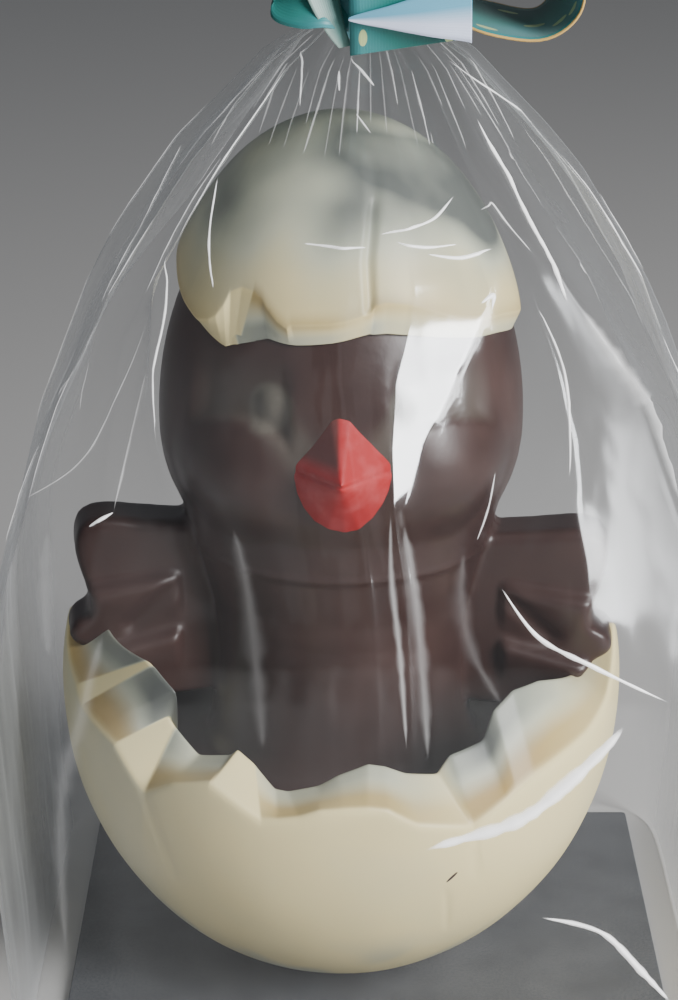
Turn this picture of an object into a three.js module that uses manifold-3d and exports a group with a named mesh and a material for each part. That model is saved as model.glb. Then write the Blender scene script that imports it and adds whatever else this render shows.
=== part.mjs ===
// A moulded chocolate chick hatching from a white chocolate egg, on a square card, in a clear gift bag.
// The bag is gathered above the chick's cap and tied with a wide ribbon in a bow.
// Millimetres, +Z up. The chick looks along -Y. The origin is the middle of the card's underside.
import * as THREE from "three";
import { mergeVertices } from "three/addons/utils/BufferGeometryUtils.js";
import Module from "manifold-3d";

const wasm = await Module();
wasm.setup();

// ---- Driving dimensions ----
const GAP = 0.3; // between pieces that touch
const ROUND_STEPS = 60; // round the shell and the cap
const BODY_STEPS = 40; // round the chick
const CURVE_STEPS = 5; // along an egg-shaped profile
const BELLY_STEPS = 3; // along the hidden hollow and the belly in it
const HEAD_STEPS = 7;
const CORNER_STEPS = 4; // along a rounded corner or lobe

const CARD_SIDE = 120;
const CARD_THICK = 1.2;
const CARD_CORNER = 1;

const FIGURE_X = -5.2; // the chick stands a little off the card's middle
const FIGURE_Y = 5;

const SHELL_RADIUS = 56;
const SHELL_WAIST_Z = 61; // where the lower shell is widest
const SHELL_WALL = 9;
const SHELL_FOOT_RADIUS = 15; // the flat spot that the egg stands on
const SHELL_FLOOR_Z = 12; // lowest point of the hollow that holds the chick

const HEAD_RADIUS = 35.5;
const HEAD_MIDDLE_Z = 117;
const HEAD_TOP_Z = 167;
const HEAD_LOW_Z = 99.5; // the head's oval ends here and tucks in to the neck
const NECK_RADIUS = 30;
const NECK_Z = 96.5;
const SHOULDER_RADIUS = 27.6; // between the chest and the neck
const SHOULDER_Z = 88.3;
const CHEST_RADIUS = 26;
const CHEST_Z = 76;
const LAP_Z = 47; // the dark chocolate's level inside the shell, below its rim
const LAP_OUTER = [34, 48]; // radius and height, where the lap starts to rise
const LAP_INNER = [27.5, 52]; // at the foot of the chest

const CAP_RADIUS = 37.2;
const CAP_MIDDLE_Z = 118;
const CAP_TOP_Z = 176;

const CHEEK_RADIUS = 11;
const CHEEK_ANGLE = 40; // from straight ahead, round the head
const CHEEK_Z = 112;
const CHEEK_SINK = 7.5; // from the head's surface in to the cheek's centre
const CHEEK_STEPS = 14;
const EYE_RADIUS = 4.6;
const EYE_ANGLE = 20;
const EYE_Z = 130;
const EYE_SINK = 2.6;
const EYE_STEPS = 12;

const BEAK_WIDTH = 18;
const BEAK_TOP_Z = 126.5;
const BEAK_MOUTH_Z = 115.5;
const BEAK_BOTTOM_Z = 105.5;
const BEAK_REACH = 10; // in front of the head
const BEAK_ROOT = 12; // the beak's sides run on this far behind the head's surface, where the head cuts it
const MOUTH_HEIGHT = 1.2;
const MOUTH_DEPTH = 1;
const BEAK_CUT_STEPS = 20; // along the head's profile that the beak's back fits

const WING_ROOT_X = 18;
const WING_TIP_X = 53;
const WING_TOP_Z = 96;
const WING_BOTTOM_Z = 57;
const WING_THICK = 13;
const WING_EDGE = 3; // rounding of the wing's edges
const WING_SWEEP = 8; // degrees that each wing turns forward

const BAG_SQUARE = 10; // how square the bag is at its base and at its neck: 2 is round
const BAG_ROUND = 2;
const BAG_SQUARE_TOP_Z = 60; // from here up the bag grows rounder
const BAG_ROUNDING = 0.4; // below 1, most of the rounding comes low on the bag
const BAG_STEPS = 72;
const ROOM_STEPS = 24; // round the room inside it
const TIE_RADIUS = 9;
const TIE_LOW_Z = 195;
const TIE_HIGH_Z = 205;
const PLEAT_LOW_Z = 150; // pleats run from here into the tie
const PLEAT_FULL_Z = 172.5; // and are at their deepest from here up
const PLEAT_DEPTH = 1.6;
const FRILL_TOP_Z = 256;
const FRILL_RADIUS = 40;
const FRILL_DEPTH = 3; // of the folds at the frill's edge
const FRILL_FOLDS = 9;
const FRILL_MIDDLE_Z = 252; // the bunched film fills the frill, with its middle a little lower than its edge

const RIBBON_WIDTH = 24;
const RIBBON_THICK = 1.4;
const BAND_THICK = 2.4; // the ribbon lies in several layers round the tie
const BAND_LOW_Z = TIE_LOW_Z + 1;
const BAND_HIGH_Z = TIE_HIGH_Z - 1;
const BAND_STEPS = 20;
const KNOT_Y = -18;
const KNOT_Z = 203;
const KNOT_WIDTH = 24;
const KNOT_HEIGHT = 20;
const KNOT_DEPTH = 18;
const KNOT_STEPS = 14;
const KNOT_ROWS = 10;
const FLAP_X = 8;
const FLAP_WIDTH = 22;
const FLAP_LENGTH = 16;
const FLAP_SLANT = 2.5;
const LOOP_LENGTH = 34;
const LOOP_HEIGHT = 18;
const LOOP_ROOT_X = 6;
const LOOP_STEPS = 5;
const LOOP_Y = -25;
const LEFT_LOOP_TILT = 36; // degrees that each loop points up
const RIGHT_LOOP_TILT = 7;
const TAIL_LENGTH = 44;
const TAIL_NOTCH = 8; // depth of the swallow-tail cut
const TAIL_LEAN = 46; // degrees forward from upright
const TAIL_SPREAD = 34;

// Half the bag's width at each height.
const BAG_PROFILE = [
  [0, 66.5],
  [88, 72],
  [101, 69],
  [117, 64.5],
  [130, 58.5],
  [145, 52],
  [157, 45.5],
  [169, 37],
  [177, 30],
  [188, 20],
  [192, 14],
  [TIE_LOW_Z, TIE_RADIUS],
  [TIE_HIGH_Z, TIE_RADIUS],
  [210, 13],
  [220, 21],
  [238, 32],
  [FRILL_TOP_Z, FRILL_RADIUS],
];

// The room that the figure takes inside the bag, round the figure's own axis: height and radius.
// It meets the card's room below.
const FIGURE_ROOM = [
  [1, 20],
  [9, 44],
  [24, 55],
  [45, 58],
  [100, 57],
  [104, 47],
  [126, 47],
  [134, 41],
  [150, 35],
  [166, 24],
  [174, 14],
  [179, 0],
];

// The shell's broken rim: angle from straight ahead to the right, outer edge height, inner edge height.
const SHELL_RIM = [
  [-180, 60, 63],
  [-158, 67, 71],
  [-136, 58, 60],
  [-112, 66, 69],
  [-88, 75, 75],
  [-65, 65, 76],
  [-51, 61, 74],
  [-42, 53.5, 68],
  [-33, 58.5, 60],
  [-25, 60, 64],
  [-17, 54.5, 57.5],
  [-5, 57, 58.5],
  [7, 58, 63],
  [15, 54.5, 60],
  [25, 51.5, 60],
  [34, 56, 66],
  [44, 60, 71.5],
  [62, 61, 72],
  [80, 72, 73],
  [104, 60, 64],
  [126, 66, 71],
  [152, 57, 60],
  [180, 60, 63],
];

// The cap's broken lower edge: angle, height of its outer edge, and height of its foot on the head.
// The break slopes down inwards, so that the foot runs nearly level below a notched outer edge.
const CAP_EDGE = [
  [-180, 145, 141],
  [-154, 153, 149],
  [-128, 143, 139],
  [-100, 152, 148],
  [-78, 148.5, 144.5],
  [-60, 144.5, 141.5],
  [-48, 142, 138.5],
  [-42, 144.5, 137],
  [-36, 149, 137.5],
  [-28, 148, 138.8],
  [-18, 143.5, 139.4],
  [0, 144.4, 140],
  [12, 147, 141],
  [22, 147, 140.6],
  [42, 142.8, 138.6],
  [62, 141, 136.8],
  [80, 139, 135],
  [100, 151, 147],
  [130, 142, 138],
  [156, 152, 148],
  [180, 145, 141],
];

// ---- Helpers ----
const { lerp, clamp, degToRad, smoothstep } = THREE.MathUtils;
const steps = (count) => Array.from({ length: count + 1 }, (_, i) => i / count);

// A value read off a table of rows, whose first column is the place, in straight lines between the rows.
function readTable(rows, place, column = 1) {
  const next = Math.max(1, rows.findIndex((row) => row[0] >= place));
  const [before, after] = [rows[next - 1], rows[next]];
  return lerp(before[column], after[column], (place - before[0]) / (after[0] - before[0]));
}

// A closed solid turned round the Z axis.
// The profile holds [radius, height] rows and may change with the angle.
function turned(segments, profileAt) {
  const columns = steps(segments).map((t) => profileAt(t < 1 ? t * 360 - 180 : -180));
  const outline = columns[0].map(([r, z]) => new THREE.Vector2(r, z));
  const geometry = new THREE.LatheGeometry(outline, segments);
  const position = geometry.getAttribute("position");
  columns.forEach((column, i) => {
    const angle = degToRad((i % segments) * (360 / segments) - 180);
    column.forEach(([r, z], j) => {
      position.setXYZ(i * column.length + j, r * Math.sin(angle), -r * Math.cos(angle), z);
    });
  });
  return geometry;
}

function solidOf(geometry) {
  const plain = geometry.index ? geometry.clone() : mergeVertices(geometry);
  plain.deleteAttribute("normal");
  plain.deleteAttribute("uv");
  const merged = mergeVertices(plain, 1e-3);
  const vertProperties = merged.getAttribute("position").array;
  const triVerts = new Uint32Array(merged.index.array);
  return new wasm.Manifold(new wasm.Mesh({ numProp: 3, vertProperties, triVerts }));
}

function geometryOf(solid) {
  const mesh = solid.getMesh();
  const geometry = new THREE.BufferGeometry();
  geometry.setAttribute("position", new THREE.BufferAttribute(mesh.vertProperties, 3));
  geometry.setIndex(new THREE.BufferAttribute(mesh.triVerts, 1));
  geometry.computeVertexNormals();
  return geometry;
}

// Radius of an oval of revolution at a height: radius at its middle, and zero at its top.
const ovalRadius = (radius, middle, top, z) =>
  radius * Math.sqrt(Math.max(0, 1 - ((z - middle) / (top - middle)) ** 2));

// Profile rows along such an oval between two heights, evenly spaced in angle.
function ovalRows(radius, middle, top, fromZ, toZ, count = CURVE_STEPS) {
  const angleOf = (z) => Math.asin(clamp((z - middle) / (top - middle), -1, 1));
  return steps(count).map((t) => {
    const angle = lerp(angleOf(fromZ), angleOf(toZ), t);
    return [radius * Math.cos(angle), middle + (top - middle) * Math.sin(angle)];
  });
}

const headRadius = (z) => ovalRadius(HEAD_RADIUS, HEAD_MIDDLE_Z, HEAD_TOP_Z, z);

// A place inside the head: sunk from its surface, at an angle from straight ahead.
function inHead(angle, z, sink) {
  const reach = headRadius(z) - sink;
  return [reach * Math.sin(degToRad(angle)), -reach * Math.cos(degToRad(angle)), z];
}

function ballSolid(radius, place, detail) {
  const geometry = new THREE.SphereGeometry(radius, detail, detail / 2);
  geometry.translate(...place);
  return solidOf(geometry);
}

// ---- Card ----
function cardGeometry() {
  const half = CARD_SIDE / 2;
  const flat = half - CARD_CORNER;
  const outline = new THREE.Shape();
  outline.absarc(flat, flat, CARD_CORNER, 0, Math.PI / 2);
  outline.absarc(-flat, flat, CARD_CORNER, Math.PI / 2, Math.PI);
  outline.absarc(-flat, -flat, CARD_CORNER, Math.PI, Math.PI * 1.5);
  outline.absarc(flat, -flat, CARD_CORNER, Math.PI * 1.5, Math.PI * 2);
  return new THREE.ExtrudeGeometry(outline, {
    depth: CARD_THICK,
    bevelEnabled: false,
    curveSegments: CORNER_STEPS,
  });
}

// ---- White chocolate shell ----
const shellFootZ = CARD_THICK + GAP;
const hollowRadius = SHELL_RADIUS - SHELL_WALL;
const mirrored = (z) => 2 * SHELL_WAIST_Z - z;

// The height of the oval's foot, where it is as wide as the flat spot.
function ovalFootZ(radius, poleZ, footRadius) {
  return SHELL_WAIST_Z - (SHELL_WAIST_Z - poleZ) * Math.sqrt(1 - (footRadius / radius) ** 2);
}

// The shell, or with room round it, the space that the wings keep clear of it.
function shellGeometry(room = 0) {
  const poleZ = shellFootZ - (ovalFootZ(SHELL_RADIUS, shellFootZ, SHELL_FOOT_RADIUS) - shellFootZ);
  const insideRadius = hollowRadius - room;
  return turned(ROUND_STEPS, (angle) => {
    const outerZ = readTable(SHELL_RIM, angle, 1) + room;
    const innerZ = readTable(SHELL_RIM, angle, 2) + room;
    const outside = ovalRows(SHELL_RADIUS + room, SHELL_WAIST_Z, mirrored(poleZ), shellFootZ, outerZ);
    const hollowTop = mirrored(SHELL_FLOOR_Z);
    const inside = ovalRows(insideRadius, SHELL_WAIST_Z, hollowTop, LAP_Z, SHELL_FLOOR_Z, BELLY_STEPS);
    return [[0, shellFootZ], ...outside, [insideRadius, innerZ], ...inside];
  });
}

// ---- Dark chocolate chick ----
function chickProfile() {
  const bellyRadius = hollowRadius - GAP;
  const bellyFloorZ = SHELL_FLOOR_Z + GAP;
  const bellyTop = mirrored(bellyFloorZ);
  const belly = ovalRows(bellyRadius, SHELL_WAIST_Z, bellyTop, bellyFloorZ, LAP_Z, BELLY_STEPS);
  const chest = [
    LAP_OUTER,
    LAP_INNER,
    [CHEST_RADIUS, CHEST_Z],
    [SHOULDER_RADIUS, SHOULDER_Z],
    [NECK_RADIUS, NECK_Z],
  ];
  const head = ovalRows(HEAD_RADIUS, HEAD_MIDDLE_Z, HEAD_TOP_Z, HEAD_LOW_Z, HEAD_TOP_Z, HEAD_STEPS);
  return [...belly, ...chest, ...head];
}

// A spread wing: a straight top edge, a round tip, and feather lobes down to the rim.
// Its outline is drawn in shares of the wing's width and height.
function wingGeometry(side) {
  const width = WING_TIP_X - WING_ROOT_X - WING_EDGE;
  const height = WING_TOP_Z - WING_BOTTOM_Z - 2 * WING_EDGE;
  const outline = new THREE.Shape();
  outline.moveTo(0, 0);
  outline.lineTo(width * 0.62, 0);
  outline.quadraticCurveTo(width * 0.84, height * 0.02, width * 0.8, height * 0.28);
  outline.quadraticCurveTo(width * 0.98, height * 0.3, width * 0.9, height * 0.54);
  outline.quadraticCurveTo(width * 1.02, height * 0.6, width, height * 0.86);
  outline.quadraticCurveTo(width, height, width * 0.82, height);
  outline.lineTo(0, height);
  const geometry = new THREE.ExtrudeGeometry(outline, {
    depth: WING_THICK - 2 * WING_EDGE,
    bevelSize: WING_EDGE,
    bevelThickness: WING_EDGE,
    bevelSegments: 2,
    curveSegments: CORNER_STEPS,
  });
  geometry.rotateX(Math.PI / 2);
  geometry.translate(WING_ROOT_X, WING_THICK / 2 - WING_EDGE, WING_BOTTOM_Z + WING_EDGE);
  geometry.rotateZ(side > 0 ? 0 : Math.PI);
  geometry.rotateZ(-side * degToRad(WING_SWEEP));
  return geometry;
}

function chickSolid() {
  const profile = chickProfile();
  const rim = solidOf(shellGeometry(GAP));
  let chick = solidOf(turned(BODY_STEPS, () => profile));
  for (const side of [-1, 1]) {
    chick = chick
      .add(ballSolid(CHEEK_RADIUS, inHead(side * CHEEK_ANGLE, CHEEK_Z, CHEEK_SINK), CHEEK_STEPS))
      .add(ballSolid(EYE_RADIUS, inHead(side * EYE_ANGLE, EYE_Z, EYE_SINK), EYE_STEPS))
      .add(solidOf(wingGeometry(side)).subtract(rim));
  }
  return chick;
}

// ---- Beak ----
// A four-sided cone whose base is a diamond, with its tip in front of the head.
function beakCone(width, reach) {
  const length = reach + BEAK_ROOT;
  const spread = length / reach; // at the base, so that it has its own width at the head's surface
  const cone = new THREE.ConeGeometry(spread, length, 4, 1);
  const position = cone.getAttribute("position");
  for (let i = 0; i < position.count; i += 1) {
    const rise = -position.getZ(i);
    const tall = rise > 0 ? BEAK_TOP_Z - BEAK_MOUTH_Z : BEAK_MOUTH_Z - BEAK_BOTTOM_Z;
    position.setXYZ(i, (position.getX(i) * width) / 2, -position.getY(i), rise * tall);
  }
  cone.translate(0, -headRadius(BEAK_MOUTH_Z) - reach + length / 2, BEAK_MOUTH_Z);
  return solidOf(cone);
}

function beakSolid(chick) {
  const core = beakCone(BEAK_WIDTH - 2 * MOUTH_DEPTH, BEAK_REACH - MOUTH_DEPTH);
  const slit = new THREE.BoxGeometry(BEAK_WIDTH * 2, SHELL_RADIUS * 2, MOUTH_HEIGHT);
  slit.translate(0, -SHELL_RADIUS, BEAK_MOUTH_Z);
  const headFootZ = HEAD_MIDDLE_Z * 2 - HEAD_TOP_Z;
  const radius = HEAD_RADIUS + GAP;
  const grown = ovalRows(radius, HEAD_MIDDLE_Z, HEAD_TOP_Z, headFootZ, HEAD_TOP_Z, BEAK_CUT_STEPS);
  const head = solidOf(turned(ROUND_STEPS, () => grown));
  const mouth = solidOf(slit).subtract(core);
  return beakCone(BEAK_WIDTH, BEAK_REACH).subtract(mouth).subtract(head).subtract(chick);
}

// ---- White chocolate cap ----
function capGeometry() {
  const insideTopZ = HEAD_TOP_Z + 2 * GAP;
  const insideRadius = HEAD_RADIUS + 2 * GAP;
  return turned(ROUND_STEPS, (angle) => {
    const outerZ = readTable(CAP_EDGE, angle, 1);
    const footZ = readTable(CAP_EDGE, angle, 2);
    const inside = ovalRows(insideRadius, HEAD_MIDDLE_Z, insideTopZ, insideTopZ, footZ);
    return [...inside, ...ovalRows(CAP_RADIUS, CAP_MIDDLE_Z, CAP_TOP_Z, outerZ, CAP_TOP_Z)];
  });
}

// ---- Clear bag ----
function bagRadius(angle, z, half) {
  const rounding = smoothstep(z, BAG_SQUARE_TOP_Z, TIE_LOW_Z) ** BAG_ROUNDING;
  const square = lerp(BAG_SQUARE, BAG_ROUND, rounding);
  const across = Math.abs(Math.sin(degToRad(angle)));
  const along = Math.abs(Math.cos(degToRad(angle)));
  const plain = half / (across ** square + along ** square) ** (1 / square);
  const fold = Math.cos(degToRad(angle * FRILL_FOLDS));
  const pleat = z < TIE_LOW_Z ? PLEAT_DEPTH * smoothstep(z, PLEAT_LOW_Z, PLEAT_FULL_Z) : 0;
  const frill = FRILL_DEPTH * smoothstep(z, TIE_HIGH_Z, FRILL_TOP_Z);
  return plain + fold * (pleat + frill);
}

// The bag's outside, or with room round it, the space that the ribbon keeps clear of it.
function bagOutside(room = 0) {
  return turned(BAG_STEPS, (angle) => {
    const side = BAG_PROFILE.map(([z, half]) => [bagRadius(angle, z, half + room), z]);
    return [[0, 0], ...side, [0, FRILL_MIDDLE_Z]];
  });
}

function bagSolid() {
  const [lowestZ] = FIGURE_ROOM[0];
  const roomProfile = [[0, lowestZ], ...FIGURE_ROOM.map(([z, r]) => [r, z])];
  const room = turned(ROOM_STEPS, () => roomProfile);
  room.translate(FIGURE_X, FIGURE_Y, 0);
  const cardRoomSide = CARD_SIDE + 2 * GAP;
  const cardRoom = new THREE.BoxGeometry(cardRoomSide, cardRoomSide, 2 * (CARD_THICK + GAP));
  return solidOf(bagOutside()).subtract(solidOf(room)).subtract(solidOf(cardRoom));
}

// ---- Ribbon ----
// The outline of a bow's loop, from its root at the knot to its round end, and inset for its inside.
// The curve's handles are shares of the loop's length and half height.
function loopOutline(inset) {
  const half = LOOP_HEIGHT / 2 - inset;
  const end = LOOP_LENGTH - inset;
  const root = inset * 2;
  const path = new THREE.Path();
  path.moveTo(root, 0);
  path.bezierCurveTo(LOOP_LENGTH * 0.35, -half * 0.9, LOOP_LENGTH * 0.6, -half, end - half * 0.9, -half);
  path.bezierCurveTo(end, -half, end, half, end - half * 0.9, half);
  path.bezierCurveTo(LOOP_LENGTH * 0.6, half, LOOP_LENGTH * 0.35, half * 0.9, root, 0);
  return path;
}

function loopGeometry(side, tilt) {
  const outline = new THREE.Shape(loopOutline(0).getPoints(LOOP_STEPS));
  outline.holes.push(new THREE.Path(loopOutline(RIBBON_THICK).getPoints(LOOP_STEPS)));
  const loop = new THREE.ExtrudeGeometry(outline, { depth: RIBBON_WIDTH, bevelEnabled: false });
  loop.translate(0, 0, -RIBBON_WIDTH / 2);
  loop.rotateX(Math.PI / 2);
  loop.rotateY(-degToRad(tilt));
  loop.translate(LOOP_ROOT_X, 0, 0);
  loop.rotateZ(side > 0 ? 0 : Math.PI);
  loop.translate(0, LOOP_Y, KNOT_Z);
  return loop;
}

// A flat end of the ribbon with a swallow-tail cut, that stands up and out in front of the frill.
function tailGeometry(side) {
  const half = RIBBON_WIDTH / 2;
  const outline = new THREE.Shape();
  outline.moveTo(-half / 2, 0);
  outline.lineTo(half / 2, 0);
  outline.lineTo(half, TAIL_LENGTH);
  outline.lineTo(0, TAIL_LENGTH - TAIL_NOTCH);
  outline.lineTo(-half, TAIL_LENGTH);
  const tail = new THREE.ExtrudeGeometry(outline, { depth: RIBBON_THICK, bevelEnabled: false });
  tail.rotateX(degToRad(90 + TAIL_LEAN));
  tail.rotateZ(side * degToRad(TAIL_SPREAD));
  tail.translate(0, KNOT_Y, KNOT_Z);
  return tail;
}

// The end that is turned down over the knot's front, cut on a slant.
function flapGeometry() {
  const outline = new THREE.Shape();
  outline.moveTo(-FLAP_WIDTH / 2, 0);
  outline.lineTo(FLAP_WIDTH / 2, FLAP_SLANT);
  outline.lineTo(FLAP_WIDTH / 2, FLAP_LENGTH);
  outline.lineTo(-FLAP_WIDTH / 2, FLAP_LENGTH);
  const flap = new THREE.ExtrudeGeometry(outline, { depth: RIBBON_THICK, bevelEnabled: false });
  flap.rotateX(Math.PI / 2);
  flap.translate(FLAP_X, KNOT_Y - KNOT_DEPTH / 2 + RIBBON_THICK, KNOT_Z - KNOT_HEIGHT / 2);
  return flap;
}

function ribbonSolid() {
  const inner = TIE_RADIUS + GAP;
  const band = turned(BAND_STEPS, () => [
    [inner, BAND_LOW_Z],
    [inner + BAND_THICK, BAND_LOW_Z],
    [inner + BAND_THICK, BAND_HIGH_Z],
    [inner, BAND_HIGH_Z],
    [inner, BAND_LOW_Z],
  ]);
  const knot = new THREE.SphereGeometry(0.5, KNOT_STEPS, KNOT_ROWS);
  knot.scale(KNOT_WIDTH, KNOT_DEPTH, KNOT_HEIGHT);
  knot.translate(0, KNOT_Y, KNOT_Z);
  let ribbon = solidOf(band).add(solidOf(knot)).add(solidOf(flapGeometry()));
  for (const [side, tilt] of [[-1, LEFT_LOOP_TILT], [1, RIGHT_LOOP_TILT]]) {
    ribbon = ribbon.add(solidOf(loopGeometry(side, tilt))).add(solidOf(tailGeometry(side)));
  }
  return ribbon.subtract(solidOf(bagOutside(GAP)));
}

// ---- The object ----
const group = new THREE.Group();
const figure = new THREE.Group();
figure.position.set(FIGURE_X, FIGURE_Y, 0);
group.add(figure);

function piece(parent, name, geometry, look) {
  const mesh = new THREE.Mesh(geometry, new THREE.MeshStandardMaterial(look));
  mesh.name = name;
  parent.add(mesh);
}

const chick = chickSolid();
piece(group, "base_card", cardGeometry(), { color: 0x2e3236, roughness: 0.7 });
piece(figure, "egg_shell", shellGeometry(), { color: 0xdcd3b4, roughness: 0.4 });
piece(figure, "chick_body", geometryOf(chick), { color: 0x3a2321, roughness: 0.35 });
piece(figure, "beak", geometryOf(beakSolid(chick)), { color: 0xc23a38, roughness: 0.4 });
piece(figure, "egg_cap", capGeometry(), { color: 0xdcd3b4, roughness: 0.4 });
piece(group, "film_bag", geometryOf(bagSolid()), {
  color: 0xe8eef2,
  roughness: 0.1,
  transparent: true,
  opacity: 0.3,
});
piece(group, "ribbon", geometryOf(ribbonSolid()), { color: 0x37807c, roughness: 0.35 });

export default group;
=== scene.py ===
"""A moulded chocolate chick hatching from a white chocolate egg, on a card, in a clear gift bag with a bow."""

import math
import random

import bpy
from mathutils import Matrix, Vector, noise


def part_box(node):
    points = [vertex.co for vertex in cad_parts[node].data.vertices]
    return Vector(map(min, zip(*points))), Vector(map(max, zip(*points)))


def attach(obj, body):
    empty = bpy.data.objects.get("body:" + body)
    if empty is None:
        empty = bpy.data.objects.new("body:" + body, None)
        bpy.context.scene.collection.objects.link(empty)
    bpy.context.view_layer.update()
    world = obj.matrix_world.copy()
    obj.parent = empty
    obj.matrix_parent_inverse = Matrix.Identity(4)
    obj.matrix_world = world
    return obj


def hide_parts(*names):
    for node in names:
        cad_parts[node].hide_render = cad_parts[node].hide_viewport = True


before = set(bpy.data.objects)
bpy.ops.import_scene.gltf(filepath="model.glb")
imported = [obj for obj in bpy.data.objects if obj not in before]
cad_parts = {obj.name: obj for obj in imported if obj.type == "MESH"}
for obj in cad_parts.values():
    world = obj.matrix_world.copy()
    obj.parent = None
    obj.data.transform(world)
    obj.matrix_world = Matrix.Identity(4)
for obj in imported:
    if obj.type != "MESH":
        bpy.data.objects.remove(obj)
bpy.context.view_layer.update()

# ---- Base card ----
# A square of dark grey board that keeps the bag's bottom flat. It is cut with nearly sharp corners,
# and its surface is matt and faintly fibrous.
MM = 0.001
CARD_CORNER = 1 * MM
CARD_EDGE = 0.25 * MM
CARD_GREY = "4A4C50"
CARD_FLECK = "5E6064"
BOARD_FIBRE = 0.6 * MM
BOARD_MOTTLE = 14 * MM
card_low, card_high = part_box("base_card")


def colour(hex_code):
    """An sRGB hex colour as Blender's linear RGBA."""
    parts = [int(hex_code[i:i + 2], 16) / 255 for i in (0, 2, 4)]
    return tuple(c / 12.92 if c <= 0.04045 else ((c + 0.055) / 1.055) ** 2.4 for c in parts) + (1,)


def new_material(name):
    material = bpy.data.materials.new(name)
    material.use_nodes = True
    material.node_tree.nodes.clear()
    return material


def add_node(material, kind, settings=None, **links):
    """Adds a node. Settings are sockets by name or number, or the node's own properties.
    Links go from an output to the socket of the same name, where _ stands for a space."""
    node = material.node_tree.nodes.new(kind)
    for key, value in (settings or {}).items():
        if isinstance(key, int) or key in node.inputs:
            node.inputs[key].default_value = value
        else:
            setattr(node, key, value)
    for name, output in links.items():
        key = int(name[1:]) if name[0] == "n" and name[1:].isdigit() else name.replace("_", " ")
        material.node_tree.links.new(output, node.inputs[key])
    return node


def ramp(material, factor, stops):
    """A colour ramp through (place, hex colour) stops."""
    node = add_node(material, "ShaderNodeValToRGB", Fac=factor)
    elements = node.color_ramp.elements
    while len(elements) < len(stops):
        elements.new(0.5)
    for element, (place, hex_code) in zip(elements, stops):
        element.position = place
        element.color = colour(hex_code)
    return node.outputs["Color"]


def per_size(size):
    """A noise texture's scale for features of this size in metres."""
    return 1 / size


def finish_piece(piece, slot, *nodes):
    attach(piece, "root")
    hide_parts(*nodes)


def select_only(obj):
    bpy.ops.object.select_all(action="DESELECT")
    obj.select_set(True)
    bpy.context.view_layer.objects.active = obj


def apply_place(obj):
    select_only(obj)
    bpy.ops.object.transform_apply(location=True, rotation=True, scale=True)


def apply_modifier(obj, kind, **settings):
    select_only(obj)
    modifier = obj.modifiers.new(kind.title(), kind)
    for key, value in settings.items():
        setattr(modifier, key, value)
    bpy.ops.object.modifier_apply(modifier=modifier.name)


def primitive(operator, name, **settings):
    bpy.ops.object.select_all(action="DESELECT")
    operator(**settings)
    obj = bpy.context.object
    obj.name = name
    return obj


def board():
    # Uncoated grey board: matt, with fibres and a soft mottle that break up the grey.
    material = new_material("uncoated grey board")
    place = add_node(material, "ShaderNodeTexCoord").outputs["Object"]
    fibre = add_node(material, "ShaderNodeTexNoise", {"Scale": per_size(BOARD_FIBRE), "Detail": 4}, Vector=place)
    mottle = add_node(material, "ShaderNodeTexNoise", {"Scale": per_size(BOARD_MOTTLE)}, Vector=place)
    both = add_node(material, "ShaderNodeMath", {"operation": "MULTIPLY"},
                    n0=fibre.outputs["Fac"], n1=mottle.outputs["Fac"])
    tint = ramp(material, both.outputs[0], [(0.15, CARD_GREY), (0.4, CARD_FLECK)])
    bump = add_node(material, "ShaderNodeBump", {"Strength": 0.25, "Distance": 0.1 * MM},
                    Height=fibre.outputs["Fac"])
    shader = add_node(material, "ShaderNodeBsdfPrincipled", {"Roughness": 0.62},
                      Base_Color=tint, Normal=bump.outputs["Normal"])
    add_node(material, "ShaderNodeOutputMaterial", Surface=shader.outputs["BSDF"])
    return material


card = primitive(bpy.ops.mesh.primitive_cube_add, "base_board", size=1,
                 location=(card_low + card_high) / 2, scale=card_high - card_low)
apply_place(card)
bpy.ops.object.mode_set(mode="EDIT")
bpy.ops.mesh.select_mode(type="EDGE")
bpy.ops.mesh.select_all(action="DESELECT")
bpy.ops.object.mode_set(mode="OBJECT")
for edge in card.data.edges:
    ends = [card.data.vertices[v].co for v in edge.vertices]
    edge.select = abs(ends[0].z - ends[1].z) > CARD_EDGE
bpy.ops.object.mode_set(mode="EDIT")
bpy.ops.mesh.bevel(offset=CARD_CORNER, segments=6)
bpy.ops.object.mode_set(mode="OBJECT")
apply_modifier(card, "BEVEL", width=CARD_EDGE, segments=2, limit_method="ANGLE")
card.data.materials.append(board())
finish_piece(card, "card", "base_card")

# ---- Lower eggshell ----
# The egg's bottom half, cast in white chocolate with a thick wall, whose edge is broken in bevelled teeth.
# The white coat is painted into the mould first, and it is thin and grey in places. Painted shade greys the shell's
# left and the bevels turned from the light, and yellows it along the edges and at its foot.
FIGURE = Vector((-5.2, 5, 0)) * MM
SHELL_RADIUS = 56 * MM
SHELL_WAIST_Z = 61 * MM
SHELL_FOOT_Z = 1.5 * MM
SHELL_FOOT_RADIUS = 15 * MM
SHELL_INSIDE = 47 * MM
SHELL_FLOOR_Z = 42 * MM
# Shares of the shell's section, from its foot: where the broken face starts, and where it ends inside.
SHELL_EDGE = 0.6
SHELL_BREAK_END = 0.82
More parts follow.
